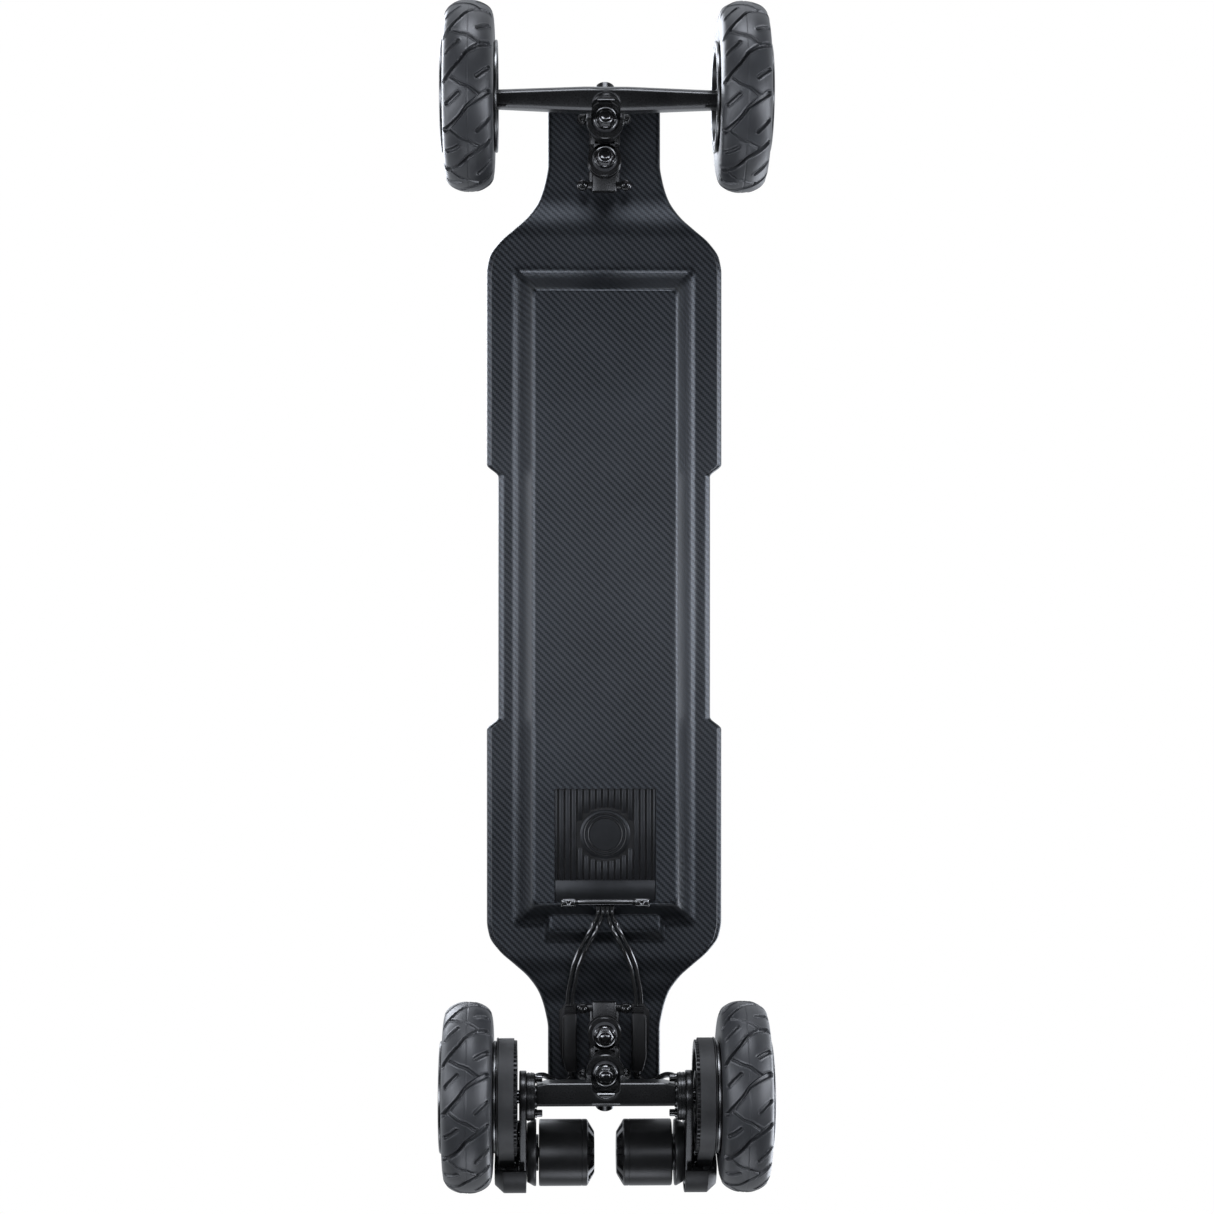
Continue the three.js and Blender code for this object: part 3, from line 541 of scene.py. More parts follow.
deck = piece("carbon_deck", deck_mesh(), CARBON, "deck", "deck_shell", sharp=40)
grip = piece("grip_tape", grip_mesh(), GRIT, "deck", "grip_sheet")
carve(deck, slab(-LID_X, LID_X, *LID_Y, 161.6, 172))
carve(deck, rod((*PORT, 140), (*PORT, 172), PORT_R, c=0))
carve(deck, rod((*BUTTON, 150), (*BUTTON, 172), BUTTON_R, c=0))
carve(grip, slab(-LID_X - 0.3, LID_X + 0.3, LID_Y[0] - 0.3, LID_Y[1], 160, 170))
port = [pipe((*PORT, TOP - 15), (*PORT, TOP), 4.8, 6.7, 48),
        rod((*PORT, TOP - 15.5), (*PORT, TOP - 11), 6.7),
        rod((*PORT, TOP - 12), (*PORT, TOP - 6.2), 1.0, n=24, c=0.2)]
piece("charge_socket", join(port), PLASTIC, "deck", "charge_port")
cap = [(7.6, 0), (7.6, 5.6), (7.0, 6.3), (5.6, 6.6), (5.2, 6.2), (2, 6.0)]
button = [lathe((*BUTTON, TOP - 5), (*BUTTON, TOP + 2), cap),
          rod((*BUTTON, TOP - 10.4), (*BUTTON, TOP - 4), 4.0)]
piece("power_button_cap", join(button), STEEL, "power_button", "power_button")
HEAD = [(4.6, 0), (4.6, 0.25), (4.0, 0.7), (2.2, 0.75), (2.0, 0.2)]
for end in (1, -1):
    heads = []
    for i in (-1, 1):
        for j in (-1, 1):
            x, y = i * BOLT_DX, end * (BOLT_Y + j * BOLT_DY)
            z = NECK_Z + THICK + 1.4
            heads.append(lathe((x, y, z), (x, y, z + 2), HEAD, 32))
    piece(f"deck_bolt_heads_{'front' if end > 0 else 'rear'}", join(heads), GLOSS, "deck")

# ---------- finned cover, clamp, connectors, cables ----------


def cover_mesh():
    """Fins with a round boss in the middle, where the fins stop short."""
    half, boss = 47.0, 25.4
    fins, pitch, groove = 16, 5.9, 1.05
    front, back = -267.5, -181.4
    parts = [bevelled(slab(-half, half, -286.6, -267, FACE_Z, FIN_TOP), 0.35)]
    edges = [-half]
    for g in range(fins):
        x = (g - (fins - 1) / 2) * pitch
        edges += [x - groove, x + groove]
    edges.append(half)
    for a, b in zip(edges[::2], edges[1::2]):
        mid = min(abs(a), abs(b)) if a * b > 0 else 0
        runs = [(front, back)]
        if mid < boss:
            dy = math.sqrt(boss ** 2 - mid ** 2)
            runs = [(front, COVER_Y - dy), (COVER_Y + dy, back)]
        parts += [bevelled(slab(a, b, y0, y1, FACE_Z, FIN_TOP), 0.45, 3) for y0, y1 in runs]
    disc = [(23.0, 0), (23.6, 0.5), (23.6, 2.2), (23.0, 2.6), (20.6, 2.6), (20.2, 2.2), (19.0, 2.2),
            (18.6, 2.6), (16.9, 2.6), (16.5, 2.1), (15.3, 2.1), (14.9, 2.6), (3, 2.6)]
    parts.append(lathe((0, COVER_Y, FACE_Z + 2.6), (0, COVER_Y, 0), disc, 128))
    return join(parts)


piece("finned_cover", cover_mesh(), HEAT, "deck", "heatsink_cover")
# A near-black sheet behind the fins, seen between them: painted shade at the floor of the grooves.
groove_shade_sheet = bevelled(slab(-47.2, 47.2, -286.8, -181.2, FACE_Z + 2.3, FACE_Z + 3.0), 0.2)
piece("fin_groove_shade", groove_shade_sheet, GROOVE_SHADE, "deck")
rings = []
for r in (16.0, 19.7):
    bead = [(r - 0.5, 0), (r - 0.35, 0.85), (r, 1.0), (r + 0.35, 0.85), (r + 0.5, 0)]
    rings.append(lathe((0, COVER_Y, FACE_Z + 0.5), (0, COVER_Y, 0), bead, 128, True))
piece("cover_rings", join(rings), DARK_ALLOY, "deck")

CZ = FACE_Z - 0.3
parts = [bevelled(slab(-26, 26, -290, -285.4, CZ - 3.2, CZ), 0.8, 3)]
for s in (-1, 1):
    x = s * CLAMP_X
    parts.append(bevelled(slab(s * 24, s * 30, -289.5, -285.6, CZ - 2, CZ), 0.5))
    ear = [[(x + i * w, CLAMP_Y + j * d, z) for i, j in ((-1, -1), (1, -1), (1, 1), (-1, 1))]
           for w, d, z in ((7.6, 4.1, CZ), (7.4, 3.9, CZ - 1.0), (5.8, 2.6, CZ - 3.4))]
    parts.append(bevelled(loft(ear), 0.9, 3))
    screw = [(2.3, 0), (2.3, 1.2), (1.9, 1.5), (1.0, 1.3)]
    parts.append(lathe((x, CLAMP_Y, CZ - 2.6), (x, CLAMP_Y, 0), screw, 24))
piece("cable_clamp_bar", join(parts), GLOSS, "deck", "cable_clamp")


def cable_run(side, lane):
    x = side * (6.65 if lane else 2.2)
    apart = 1 if lane else -1

    def mid(t, y, z):
        return (side * (t + 2.3 * apart), y + 1.1 * apart, z)

    return [(x, -291.5, 121), (x, -297, 123.5), (x + side, -303, 131), mid(8.2, -311, 136.6),
            mid(13.5, -322, 136.8), mid(21, -337, 147), mid(27.2, -352, 148.8), mid(30, -366, 150.5),
            mid(32.4, -380, 155), mid(33, -390.4, 157.2)]


LEAD = [(32, -455, 157), (32.4, -459.2, 156.4), (39, -463.5, 150), (49, -460, 143.5), (59, -454, 134),
        (67, -455, 122.5), (69.6, -468, 116.5), (69.4, -483, 119), (69.2, -493.2, 120)]
LEAD_SPLIT = 40  # the point of the drawn path that stays with the swing arm

for side, tag in ((1, "r"), (-1, "l")):
    housing = [(26.4, -398), (37.4, -398), (40, -402), (40, -441), (36.6, -454), (26.4, -454)]
    foot = [(26.4, -390), (37, -390), (43.4, -397.5), (43.2, -425), (40, -449), (26.4, -449)]
    body = [bevelled(panel([(side * x, y) for x, y in housing], 150.5, 163), 1.5, 3),
            bevelled(panel([(side * x, y) for x, y in foot], 161.6, NECK_Z - 0.3), 0.9, 3)]
    for k in range(3):
        y, x0, x1 = -393.4 - 1.7 * k, side * (28.2 - 0.2 * k), side * (37.8 + 0.2 * k)
        body.append(bevelled(slab(x0, x1, y, y - 1.1, 153.6, 160.8), 0.4))
    body.append(bevelled(slab(side * 28.8, side * 37.2, -392.6, -400, 154.2, 160.2), 0.8))
    body.append(rod((side * 32, -450, 157), (side * 32, -455, 157), 4.4, 3.6, 32))
    piece(f"cable_connector_{tag}", join(body), PLASTIC, "deck", f"connector_{tag}")
    for lane, kind in enumerate(("power", "sensor")):
        piece(f"tail_{kind}_cable_{tag}", tube(cable_run(side, lane), 2.0), CABLE, "deck",
              f"{kind}_cable_{tag}")
    path = curve([(side * x, y, z) for x, y, z in LEAD], 10)
    a, b = path[:LEAD_SPLIT + 1], path[LEAD_SPLIT:]
    lead = f"motor_lead_{tag}"
    first = piece(f"motor_lead_upper_{tag}", tube(a, 2.8, steps=1), CABLE, None, lead)
    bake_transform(first)
    second = piece(f"motor_lead_lower_{tag}", tube(b, 2.8, steps=1), CABLE, None, lead)
    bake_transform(second)

# ---------- trucks ----------


RING_IN, RING_OUT = 13.4, 17.7


def truck(tag, end, beam_half, journal):
    def at(x, u, v):
        return (x, end * (BOLT_Y + u), NECK_Z - v)

    def bar(x0, x1, u0, u1, v0, v1, w=1.0, segs=2):
        y0, y1 = end * (BOLT_Y + u0), end * (BOLT_Y + u1)
        return bevelled(slab(x0, x1, y0, y1, NECK_Z - v0, NECK_Z - v1), w, segs)

    def drum(r, u, v0, v1, r1=None, n=64, c=0.6):
        return rod(at(0, u, v0), at(0, u, v1), r, r1, n, c)

    def on(p, q, t):
        return at(0, p[0] + (q[0] - p[0]) * t, p[1] + (q[1] - p[1]) * t)

    ring1, cup1 = (-10.9, 25.2), (58, 7)
    ring2, cup2 = (21, 51.6), (50, 36)

    base = [bar(-14.5, 14.5, -30, 38, 0.3, 5.5, 1.4, 3), bar(-11.8, 11.8, -39.4, 10, 1.2, 9, 2.0, 3),
            pipe(at(0, ring1[0], 4), at(0, ring1[0], 12.3), 6, 16, 64, 1.0),
            bar(-8, 8, 34, 56, 0.3, 5.5, 1.0)]
    base.append(pipe(on(ring1, cup1, 0.84), on(ring1, cup1, 1.04), 4.7, 8, 48, 0.8))
    tip = [(8, 0), (7.6, 1.6), (6.2, 3.0), (3.5, 4.0), (1, 4.3)]
    base.append(lathe(on(ring1, cup1, 1.0), on(ring1, cup1, 1.2), tip, 48))
    for su in (-1, 1):
        u = su * BOLT_DY
        base.append(bar(-BOLT_DX, BOLT_DX, u - 3.6, u + 3.6, 0.3, 3.6, 1.0))
        for x in (-BOLT_DX, BOLT_DX):
            base.append(pipe(at(x, u, 0.3), at(x, u, 4.2), 2.4, 5.2, 40, 0.9))
    piece(f"{tag}_base_casting", join(base), CAST, "deck", f"{tag}_baseplate")
    nuts = []
    for x in (-BOLT_DX, BOLT_DX):
        for u in (-BOLT_DY, BOLT_DY):
            nuts += [pipe(at(x, u, 4.1), at(x, u, 5.0), 2.6, 5.0, 40, 0.3),
                     hexagon(at(x, u, 4.9), at(x, u, 8.4), 4.3, 0.7),
                     pipe(at(x, u, 8.0), at(x, u, 9.6), 2.4, 3.6, 32, 0.5),
                     rod(at(x, u, 8), at(x, u, 11.9), 2.3, 2.1, 24, 0.5)]
    piece(f"{tag}_base_nuts", join(nuts), GLOSS, "deck")

    arm = [pipe(at(0, ring1[0], 22.3), at(0, ring1[0], 28), 6.6, 16, 64, 1.0),
           bar(-11, 11, ring1[0] + 8, 46, 22.3, 28, 1.4, 3), bar(-14.5, 14.5, 2, 22, 22.8, 28, 1.8, 3),
           bar(-9, 9, 40, 54, 22.3, 33, 1.6, 3), drum(15, ring2[0], 23, 38, None, 64, 1.6),
           drum(13.4, 16, 23, 36, None, 64, 2.4),
           pipe(on(ring2, cup2, 0.86), on(ring2, cup2, 1.22), 5.1, 9, 48, 1.0),
           rod(on(ring2, cup2, 1.15), on(ring2, cup2, 1.27), 8.6, 6.6, 48, 1.4),
           bar(-6.5, 6.5, 38, 44.5, 11, 30, 1.2, 3), rod(on(ring1, cup1, 0.74), on(ring1, cup1, 0.98), 4.1)]
    piece(f"{tag}_swing_casting", join(arm), CAST, f"{tag}_arm", f"{tag}_swing_arm")

    def kingpin(name, u, head, washer, body):
        def turned(v, prof, n, closed=False):
            return lathe(at(0, u, washer + v), at(0, u, 90), prof, n, closed)

        cup = [(5.2, 0), (10.2, 0), (10.8, 0.3), (11.0, 0.9), (10.8, 1.5), (10.2, 1.9), (9.4, 1.7),
               (5.2, 1.4)]
        rim = [(5.2, 0), (8.6, 0), (9.1, 0.5), (9.1, 1.0), (8.6, 1.5), (5.2, 1.5)]
        nut = [(7.6, 0), (8.0, 0.5), (8.0, 5.0), (7.0, 6.0), (5.0, 6.3)]
        collar = [(6.5, 0), (6.6, 0.7), (6.3, 1.3), (5.6, 1.6), (4.6, 1.5)]
        threads = [(4.1 + 0.5 * (k % 2), 0.35 * k) for k in range(9)] + [(3.2, 3.3), (1.6, 3.4)]
        stack = [drum(5, u, head, washer + 9, 4.6, 48, 0.8), hexagon(at(0, u, head), at(0, u, head + 4.6), 8),
                 turned(0, cup, 80, True), turned(1.4, rim, 80, True), turned(2.6, nut, 6),
                 turned(8, collar, 48), turned(8.2, threads, 40)]
        piece(f"{tag}_{name}_pin", join(stack), GLOSS, body, f"{tag}_{name}_kingpin")

    kingpin("inner", ring1[0], 0.5, 38.6, "deck")
    kingpin("outer", ring2[0], 24.4, 65.6, f"{tag}_arm")

    def bush(name, u, v0, v1):
        h = v1 - v0
        prof = [(5.3, 0), (11.2, 0), (12, 0.8), (11.7, h * 0.5), (11.2, h - 0.8), (10.6, h), (5.3, h)]
        ring = piece(f"{tag}_{name}_urethane", lathe(at(0, u, v0), at(0, u, 90), prof, 64, True), BUSH, None,
                     f"{tag}_{name}_bushing")
        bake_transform(ring)

    bush("inner_upper", ring1[0], 12.6, 22)
    bush("inner_lower", ring1[0], 28.3, 38.3)
    bush("outer_upper", ring2[0], 38.3, 48)
    bush("outer_lower", ring2[0], 55.3, 65.3)

    xs = np.unique(np.concatenate([np.linspace(0, RING_IN, 21), np.linspace(13.5, 24, 8),
                                   np.linspace(24, beam_half, 24), [beam_half - 0.8]]))
    xs = np.concatenate([-xs[:0:-1], xs])
    rings = []
    for x in xs:
        if journal:
            t = np.clip((abs(x) - 54) / (beam_half - 54), 0, 1)
            inner, half, tall, c = -11.1 + 2.1 * t, 11.1, 10.8 - 0.3 * t, (1.2, 3.4)
        else:
            t = np.clip((abs(x) - 20) / (beam_half - 20), 0, 1)
            inner, half, tall, c = -11.4 + 3.2 * t, 11.4 - 2.8 * t, 11.5 - 2.5 * t, (2.6, 4.2)
        if abs(x) > beam_half - 0.5:
            inner, half, tall = inner + 0.8, half - 0.8, tall - 0.8
        if abs(x) < RING_IN:
            inner = max(inner, ring2[0] + 4 + math.sqrt(RING_IN ** 2 - x * x) - BEAM_U)
        i, o = c
        sec = [(inner, -tall + i), (inner + i, -tall), (half - o, -tall), (half, -tall + o), (half, tall - o),
               (half - o, tall), (inner + i, tall), (inner, tall - i)]
        pts = []
        for (a0, b0), (a1, b1) in zip(sec, sec[1:] + sec[:1]):
            pts += [(a0 + (a1 - a0) * k, b0 + (b1 - b0) * k) for k in (0.1, 0.9)]
        rings.append([at(x, BEAM_U + du, AXLE_V + dv) for du, dv in pts])
    hang = [loft(rings), pipe(at(0, ring2[0], 46), at(0, ring2[0], 58), RING_IN, RING_OUT, 80, 0.9),
            pipe(at(0, ring2[0], 48.3), at(0, ring2[0], 55), 6.6, 13.6, 64, 0.1),
            bar(-RING_OUT, -RING_IN, 20, 36, 46.2, 72, 1.2, 3),
            bar(RING_IN, RING_OUT, 20, 36, 46.2, 72, 1.2, 3),
            bar(-14, 14, 30, 43, 46.2, 51, 0.8),
            bar(-6.5, 6.5, 36.6, 40.5, 38.7, 70, 1.2), rod(on(ring2, cup2, 0.62), on(ring2, cup2, 1.0), 4.6)]

    def axle(x):
        return at(x, AXLE_U, AXLE_V)

    for s in (-1, 1):
        if journal:
            hang.append(pipe(axle(s * (beam_half - 1)), axle(s * journal), 4.3, 10.4, 64, 0.8))
        else:
            hang.append(pipe(axle(s * (beam_half - 2)), axle(s * (beam_half - 0.2)), 4.3, 7.4, 48, 0.4))
    piece(f"{tag}_hanger_beam", join(hang), CAST, f"{tag}_hanger", f"{tag}_hanger")

    wx = WHEEL_X[tag]
    reach = journal or beam_half
    ax = [rod(axle(-wx - 24.6), axle(wx + 24.6), 4.0, None, 32, 0.7)]
    for s in (-1, 1):
        ax.append(pipe(axle(s * (reach + 0.3)), axle(s * (wx - 17.3)), 4.0, 6.3, 40, 0.4))
        ax.append(pipe(axle(s * (wx + 17.3)), axle(s * (wx + 18.5)), 4.0, 7.2, 40, 0.2))
        ax.append(hexagon(axle(s * (wx + 18.5)), axle(s * (wx + 24)), 7.3, 0.7))
    piece(f"{tag}_axle_rod", join(ax), GLOSS, f"{tag}_hanger", f"{tag}_axle")


truck("front", 1, 104.5, 0)
truck("rear", -1, 64.8, 80.5)

# ---------- tyres and rims ----------

SPOKES, RIM_BOLTS, BOLT_RING = 5, 15, 46.2
REPEATS = 11
PER = 78
CELL = 2 * math.pi * TYRE_R / REPEATS


def strokes():
    """Grooves of one repeat as ((along, across, half width) points, depth)."""
    sweep = [(0, 19.0, 2.3), (-4.7, 11.5, 2.2), (-8, 6.5, 1.9), (-13, -0.4, 1.3), (-22, -6.6, 1.1),
             (-28.3, -12, 1.3), (-39.2, -20.6, 1.9)]
    thin = [(-36.3, -14.8, 0.9), (-42.2, -7, 0.9), (-45.4, 1.3, 1.1), (-50.5, 8, 1.3), (-53.5, 12.5, 1.2)]
    right = [(23.7, 19.2, 1.7), (14.5, 8.9, 1.7)]
    left = [(-1.3, -7.9, 1.5), (-11.3, -18.4, 1.5)]
    return [(sweep, 3.4), (thin, 2.0), (right, 3.0), (left, 2.6)]


def groove_depth(s, x):
    """Depth at the along and across places, with a low lip where the rubber rolls into a groove."""
    depth = np.zeros_like(x)
    lip = np.zeros_like(x)
    for stroke, deep in strokes():
        pts = np.array(stroke)
        best = np.full_like(x, 1e9)
        for shift in (-2 * CELL, -CELL, 0, CELL, 2 * CELL):
            for a, b in zip(pts, pts[1:]):
                d = b[:2] - a[:2]
                ds, dx = s - a[0] - shift, x - a[1]
                k = np.clip((ds * d[0] + dx * d[1]) / (d @ d), 0, 1)
                best = np.minimum(best, np.hypot(ds - k * d[0], dx - k * d[1]) - (a[2] + k * (b[2] - a[2])))
        depth = np.maximum(depth, deep * np.clip(0.5 - best / 0.7, 0, 1))
        lip = np.maximum(lip, 0.4 * np.exp(-((best - 0.8) / 0.5) ** 2))
    seam = np.clip((0.5 - np.abs(x)) / 0.3, 0, 1) * 0.3
    return np.maximum(depth, seam) - np.where(depth > 0.05, 0, lip)


def tyre_mesh(x0, y0, side):
    knots = [(-20, 46.8), (-22.2, 51.5), (-23.1, 58), (-23.2, 66), (-22.2, 74.5), (-19.2, 80.4), (-14, 84.3),
             (-7.3, 86.8), (0, TYRE_R)]
    knots = np.array(knots + [(-x, r) for x, r in knots[-2::-1]], float)
    total = run_length(knots)[-1]
    mid, tread = total / 2, 26
    fine = np.linspace(mid - tread, mid + tread, 104)
    pos = np.concatenate([np.linspace(0, mid - tread, 12)[:-1], fine,
                          np.linspace(mid + tread, total, 12)[1:]])
    line = curve(knots, 40)
    along = run_length(line)
    along *= total / along[-1]
    px = np.interp(pos, along, line[:, 0])
    pr = np.interp(pos, along, line[:, 1])
    nx, nr = np.gradient(pr), -np.gradient(px)
    size = np.hypot(nx, nr)
    nx, nr = nx / size, nr / size
    s = np.arange(PER) * CELL / PER
    lateral = side * (mid - pos)
    lateral = lateral / (1 + 0.1 * (np.abs(lateral) / 20) ** 2)
    depth = groove_depth(s[:, None] + 0 * lateral[None], 0 * s[:, None] + lateral[None])
    depth = np.tile(depth, (REPEATS, 1))
    ang = np.arange(PER * REPEATS) * 2 * math.pi / (PER * REPEATS)
    rr = pr[None] + nr[None] * depth
    xx = px[None] + nx[None] * depth
    verts = np.stack([x0 + side * xx, y0 + rr * np.cos(ang)[:, None], AXLE_Z + rr * np.sin(ang)[:, None]], -1)
    verts[..., 2] = np.maximum(verts[..., 2], 0.0)
    rows, cols = verts.shape[:2]
    return verts.reshape(-1, 3), grid_faces(rows, cols, wrap_rows=True)


def rim_mesh(x0, y0, side):
    p, q = (x0, y0, AXLE_Z), (x0 + side * 10, y0, AXLE_Z)
    barrel = [(41, -25.8), (41.8, -26.0), (50.2, -26.0), (51.0, -25.4), (51.2, -23.8), (46, -19.6),
              (45.6, -17), (43.5, -12), (43.5, 12), (45.6, 17), (46, 19.6), (51.2, 23.8), (51.0, 25.4),
              (50.2, 26.0), (41.8, 26.0), (41, 25.8), (40.4, 20), (39.5, 9), (38.5, 7), (38.5, -7),
              (39.5, -9), (40.4, -20)]
    hub = [(11.1, -16.8), (15.4, -17), (16, -16.4), (17, -8), (17, 8), (16, 16.4), (15.4, 17), (11.1, 16.8),
           (11.1, 9), (9, 9), (9, -9), (11.1, -9)]
    parts = [lathe(p, q, barrel, 120, closed=True), lathe(p, q, hub, 64, closed=True)]
    for c, s in spaced(SPOKES, turn=0.3):
        rings = []
        for r, w, h in ((15, 6.4, 8.5), (22, 5.2, 6.5), (32, 6.0, 5.5), (39.6, 9.5, 6.2)):
            sec = [(-w, -h + 1.6), (-w + 1.6, -h), (w - 1.6, -h), (w, -h + 1.6), (w, h - 1.6), (w - 1.6, h),
                   (-w + 1.6, h), (-w, h - 1.6)]
            rings.append([(x0 + side * b, y0 + r * c - m * s, AXLE_Z + r * s + m * c) for m, b in sec])
        parts.append(loft(rings))
    return join(parts)


def wheel(tag, side, y0, across):
    x0 = side * across
    name = f"{tag}_{'right' if side > 0 else 'left'}"
    body = f"{name}_wheel"
    piece(f"{name}_tyre_tread", tyre_mesh(x0, y0, side), TYRE, body, f"{name}_tyre", sharp=60)
    piece(f"{name}_rim_alloy", rim_mesh(x0, y0, side), DARK_ALLOY, body, f"{name}_rim", sharp=30)
    lip = [(49.2, 25.2), (49.2, 26.1), (50.6, 26.3), (51.5, 25.8), (51.7, 24.6), (51.0, 24.0)]
    lips = [lathe((x0, y0, AXLE_Z), (x0 + k, y0, AXLE_Z), lip, 120, True) for k in (-1, 1)]
    piece(f"{name}_rim_lips", join(lips), EDGE_ALLOY, body)
    socket = [(2.4, -1), (2.4, -0.2), (2.1, 0.15), (1.2, 0.2), (1.0, -0.6)]
    race = [(4.4, 0), (10.9, 0), (10.9, 6.8), (9.6, 6.9), (9.2, 6.4), (6.2, 6.4), (5.8, 6.9), (4.4, 6.9)]
    bolts, bearings = [], []
    for s in (-1, 1):
        face = x0 + s * 26.0
        for c, q in spaced(RIM_BOLTS):
            y, z = y0 + BOLT_RING * c, AXLE_Z + BOLT_RING * q
            bolts.append(lathe((face, y, z), (face + s, y, z), socket, 16))
        bearings.append(lathe((x0 + s * 9.2, y0, AXLE_Z), (x0 + s * 20, y0, AXLE_Z), race, 48, True))
    piece(f"{name}_rim_bolts", join(bolts), GLOSS, body)
    piece(f"{name}_bearings", join(bearings), STEEL, body)


for s in (1, -1):
    wheel("front", s, AXLE_Y, WHEEL_X["front"])
    wheel("rear", s, -AXLE_Y, WHEEL_X["rear"])

# ---------- belt drives ----------

TEETH_WHEEL, TEETH_MOTOR, PITCH, PITCH_DROP = 66, 16, 5.0, 0.57
R_WHEEL = TEETH_WHEEL * PITCH / (2 * math.pi) - PITCH_DROP
R_MOTOR = TEETH_MOTOR * PITCH / (2 * math.pi) - PITCH_DROP
HUB = np.array([-AXLE_Y, AXLE_Z])
MOT = np.array(MOTOR)
CLAMP_ENDS = (-15.4, 16.9)  # along Y from the axle


def cog(teeth, tip, centre, x0, x1, bore):
    step = 2 * math.pi / teeth
    flank = [(2.1, -0.36), (1.8, -0.32), (0.3, -0.24), (0, -0.18)]
    outer, inner = [], []
    for i in range(teeth):
        for drop, k in flank + [(d, -k) for d, k in flank[::-1]]:
            r, a = tip - drop, (i + k) * step
            outer.append((centre[0] + r * math.cos(a), centre[1] + r * math.sin(a)))
            inner.append((centre[0] + bore * math.cos(a), centre[1] + bore * math.sin(a)))
    return band(outer, inner, x0, x1)


def belt_loop(big, small, n_big=90, n_small=30, n_run=60):
    line = MOT - HUB
    length = np.hypot(*line)
    lean = math.acos((big - small) / length)
    face = math.atan2(line[1], line[0])

    def arc(c, r, a, b, n):
        t = np.linspace(a, b, n)
        return np.stack([c[0] + r * np.cos(t), c[1] + r * np.sin(t)], -1)

    a1 = arc(HUB, big, face + lean, face + 2 * math.pi - lean, n_big)
    a2 = arc(MOT, small, face - lean, face + lean, n_small)
    run1 = np.linspace(a1[-1], a2[0], n_run + 2)[1:-1]
    run2 = np.linspace(a2[-1], a1[0], n_run + 2)[1:-1]
    return np.concatenate([a1, run1, a2, run2]), (n_big, n_run, n_small)


def belt_mesh(x0, x1):
    n_run = 120
    inner, (nb, nr, ns) = belt_loop(R_WHEEL + 0.32, R_MOTOR + 0.34, n_run=n_run)
    outer, _ = belt_loop(R_WHEEL + 1.9, R_MOTOR + 1.94, n_run=n_run)
    toothed = inner.copy()
    inward = inner - outer
    inward /= np.linalg.norm(inward, axis=1)[:, None]
    for start in (nb, nb + nr + ns):
        seg = inner[start:start + nr]
        dist = run_length(seg)
        phase = ((dist - dist[-1] / 2) / PITCH) % 1.0
        tall = np.clip((0.3 - np.abs(phase - 0.5)) / 0.08, 0, 1)
        tall = np.where((dist > 7) & (dist < dist[-1] - 7), tall, 0)
        toothed[start:start + nr] += inward[start:start + nr] * (1.9 * tall)[:, None]
    return band(outer, toothed, x0, x1)


def wrapped(big, small, n=60):
    loop, _ = belt_loop(big, small, n_big=n, n_small=n, n_run=2)
    return loop


def motor_shell(on):
    """The can with its vented end: slots are pressed in round the sloping shoulder."""
    n, group, slot = 192, 16, (4, 12)
    p = on(0)
    d, s, t = frame_of(p, on(10))
    prof = [(5.4, 11.0), (16.0, 10.9), (17.6, 10.7), (19.0, 10.4), (19.8, 10.6), (20.6, 11.0), (28.4, 15.7),
            (29.2, 16.2), (30.2, 16.9), (30.8, 17.5), (31, 18.3), (31, 21.6), (30.7, 21.8), (30.7, 22.3),
            (31, 22.5), (31, 60.9), (30.7, 61.8), (30.0, 62.4), (24, 62.6), (5.4, 62.6)]
    pressed = (5, 6)
    angles = np.arange(n) * 2 * math.pi / n
    ring = np.cos(angles)[:, None] * s + np.sin(angles)[:, None] * t
    slots = ((np.arange(n) % group) >= slot[0]) & ((np.arange(n) % group) <= slot[1])
    rows = []
    for k, (r, x) in enumerate(prof):
        rr, xx = np.full(n, r), np.full(n, x)
        if k in pressed:
            rr = np.where(slots, r - 1.6, rr)
            xx = np.where(slots, x + 2.6, xx)
        rows.append(np.asarray(p, float) + xx[:, None] * d + rr[:, None] * ring)
    return loft(rows)


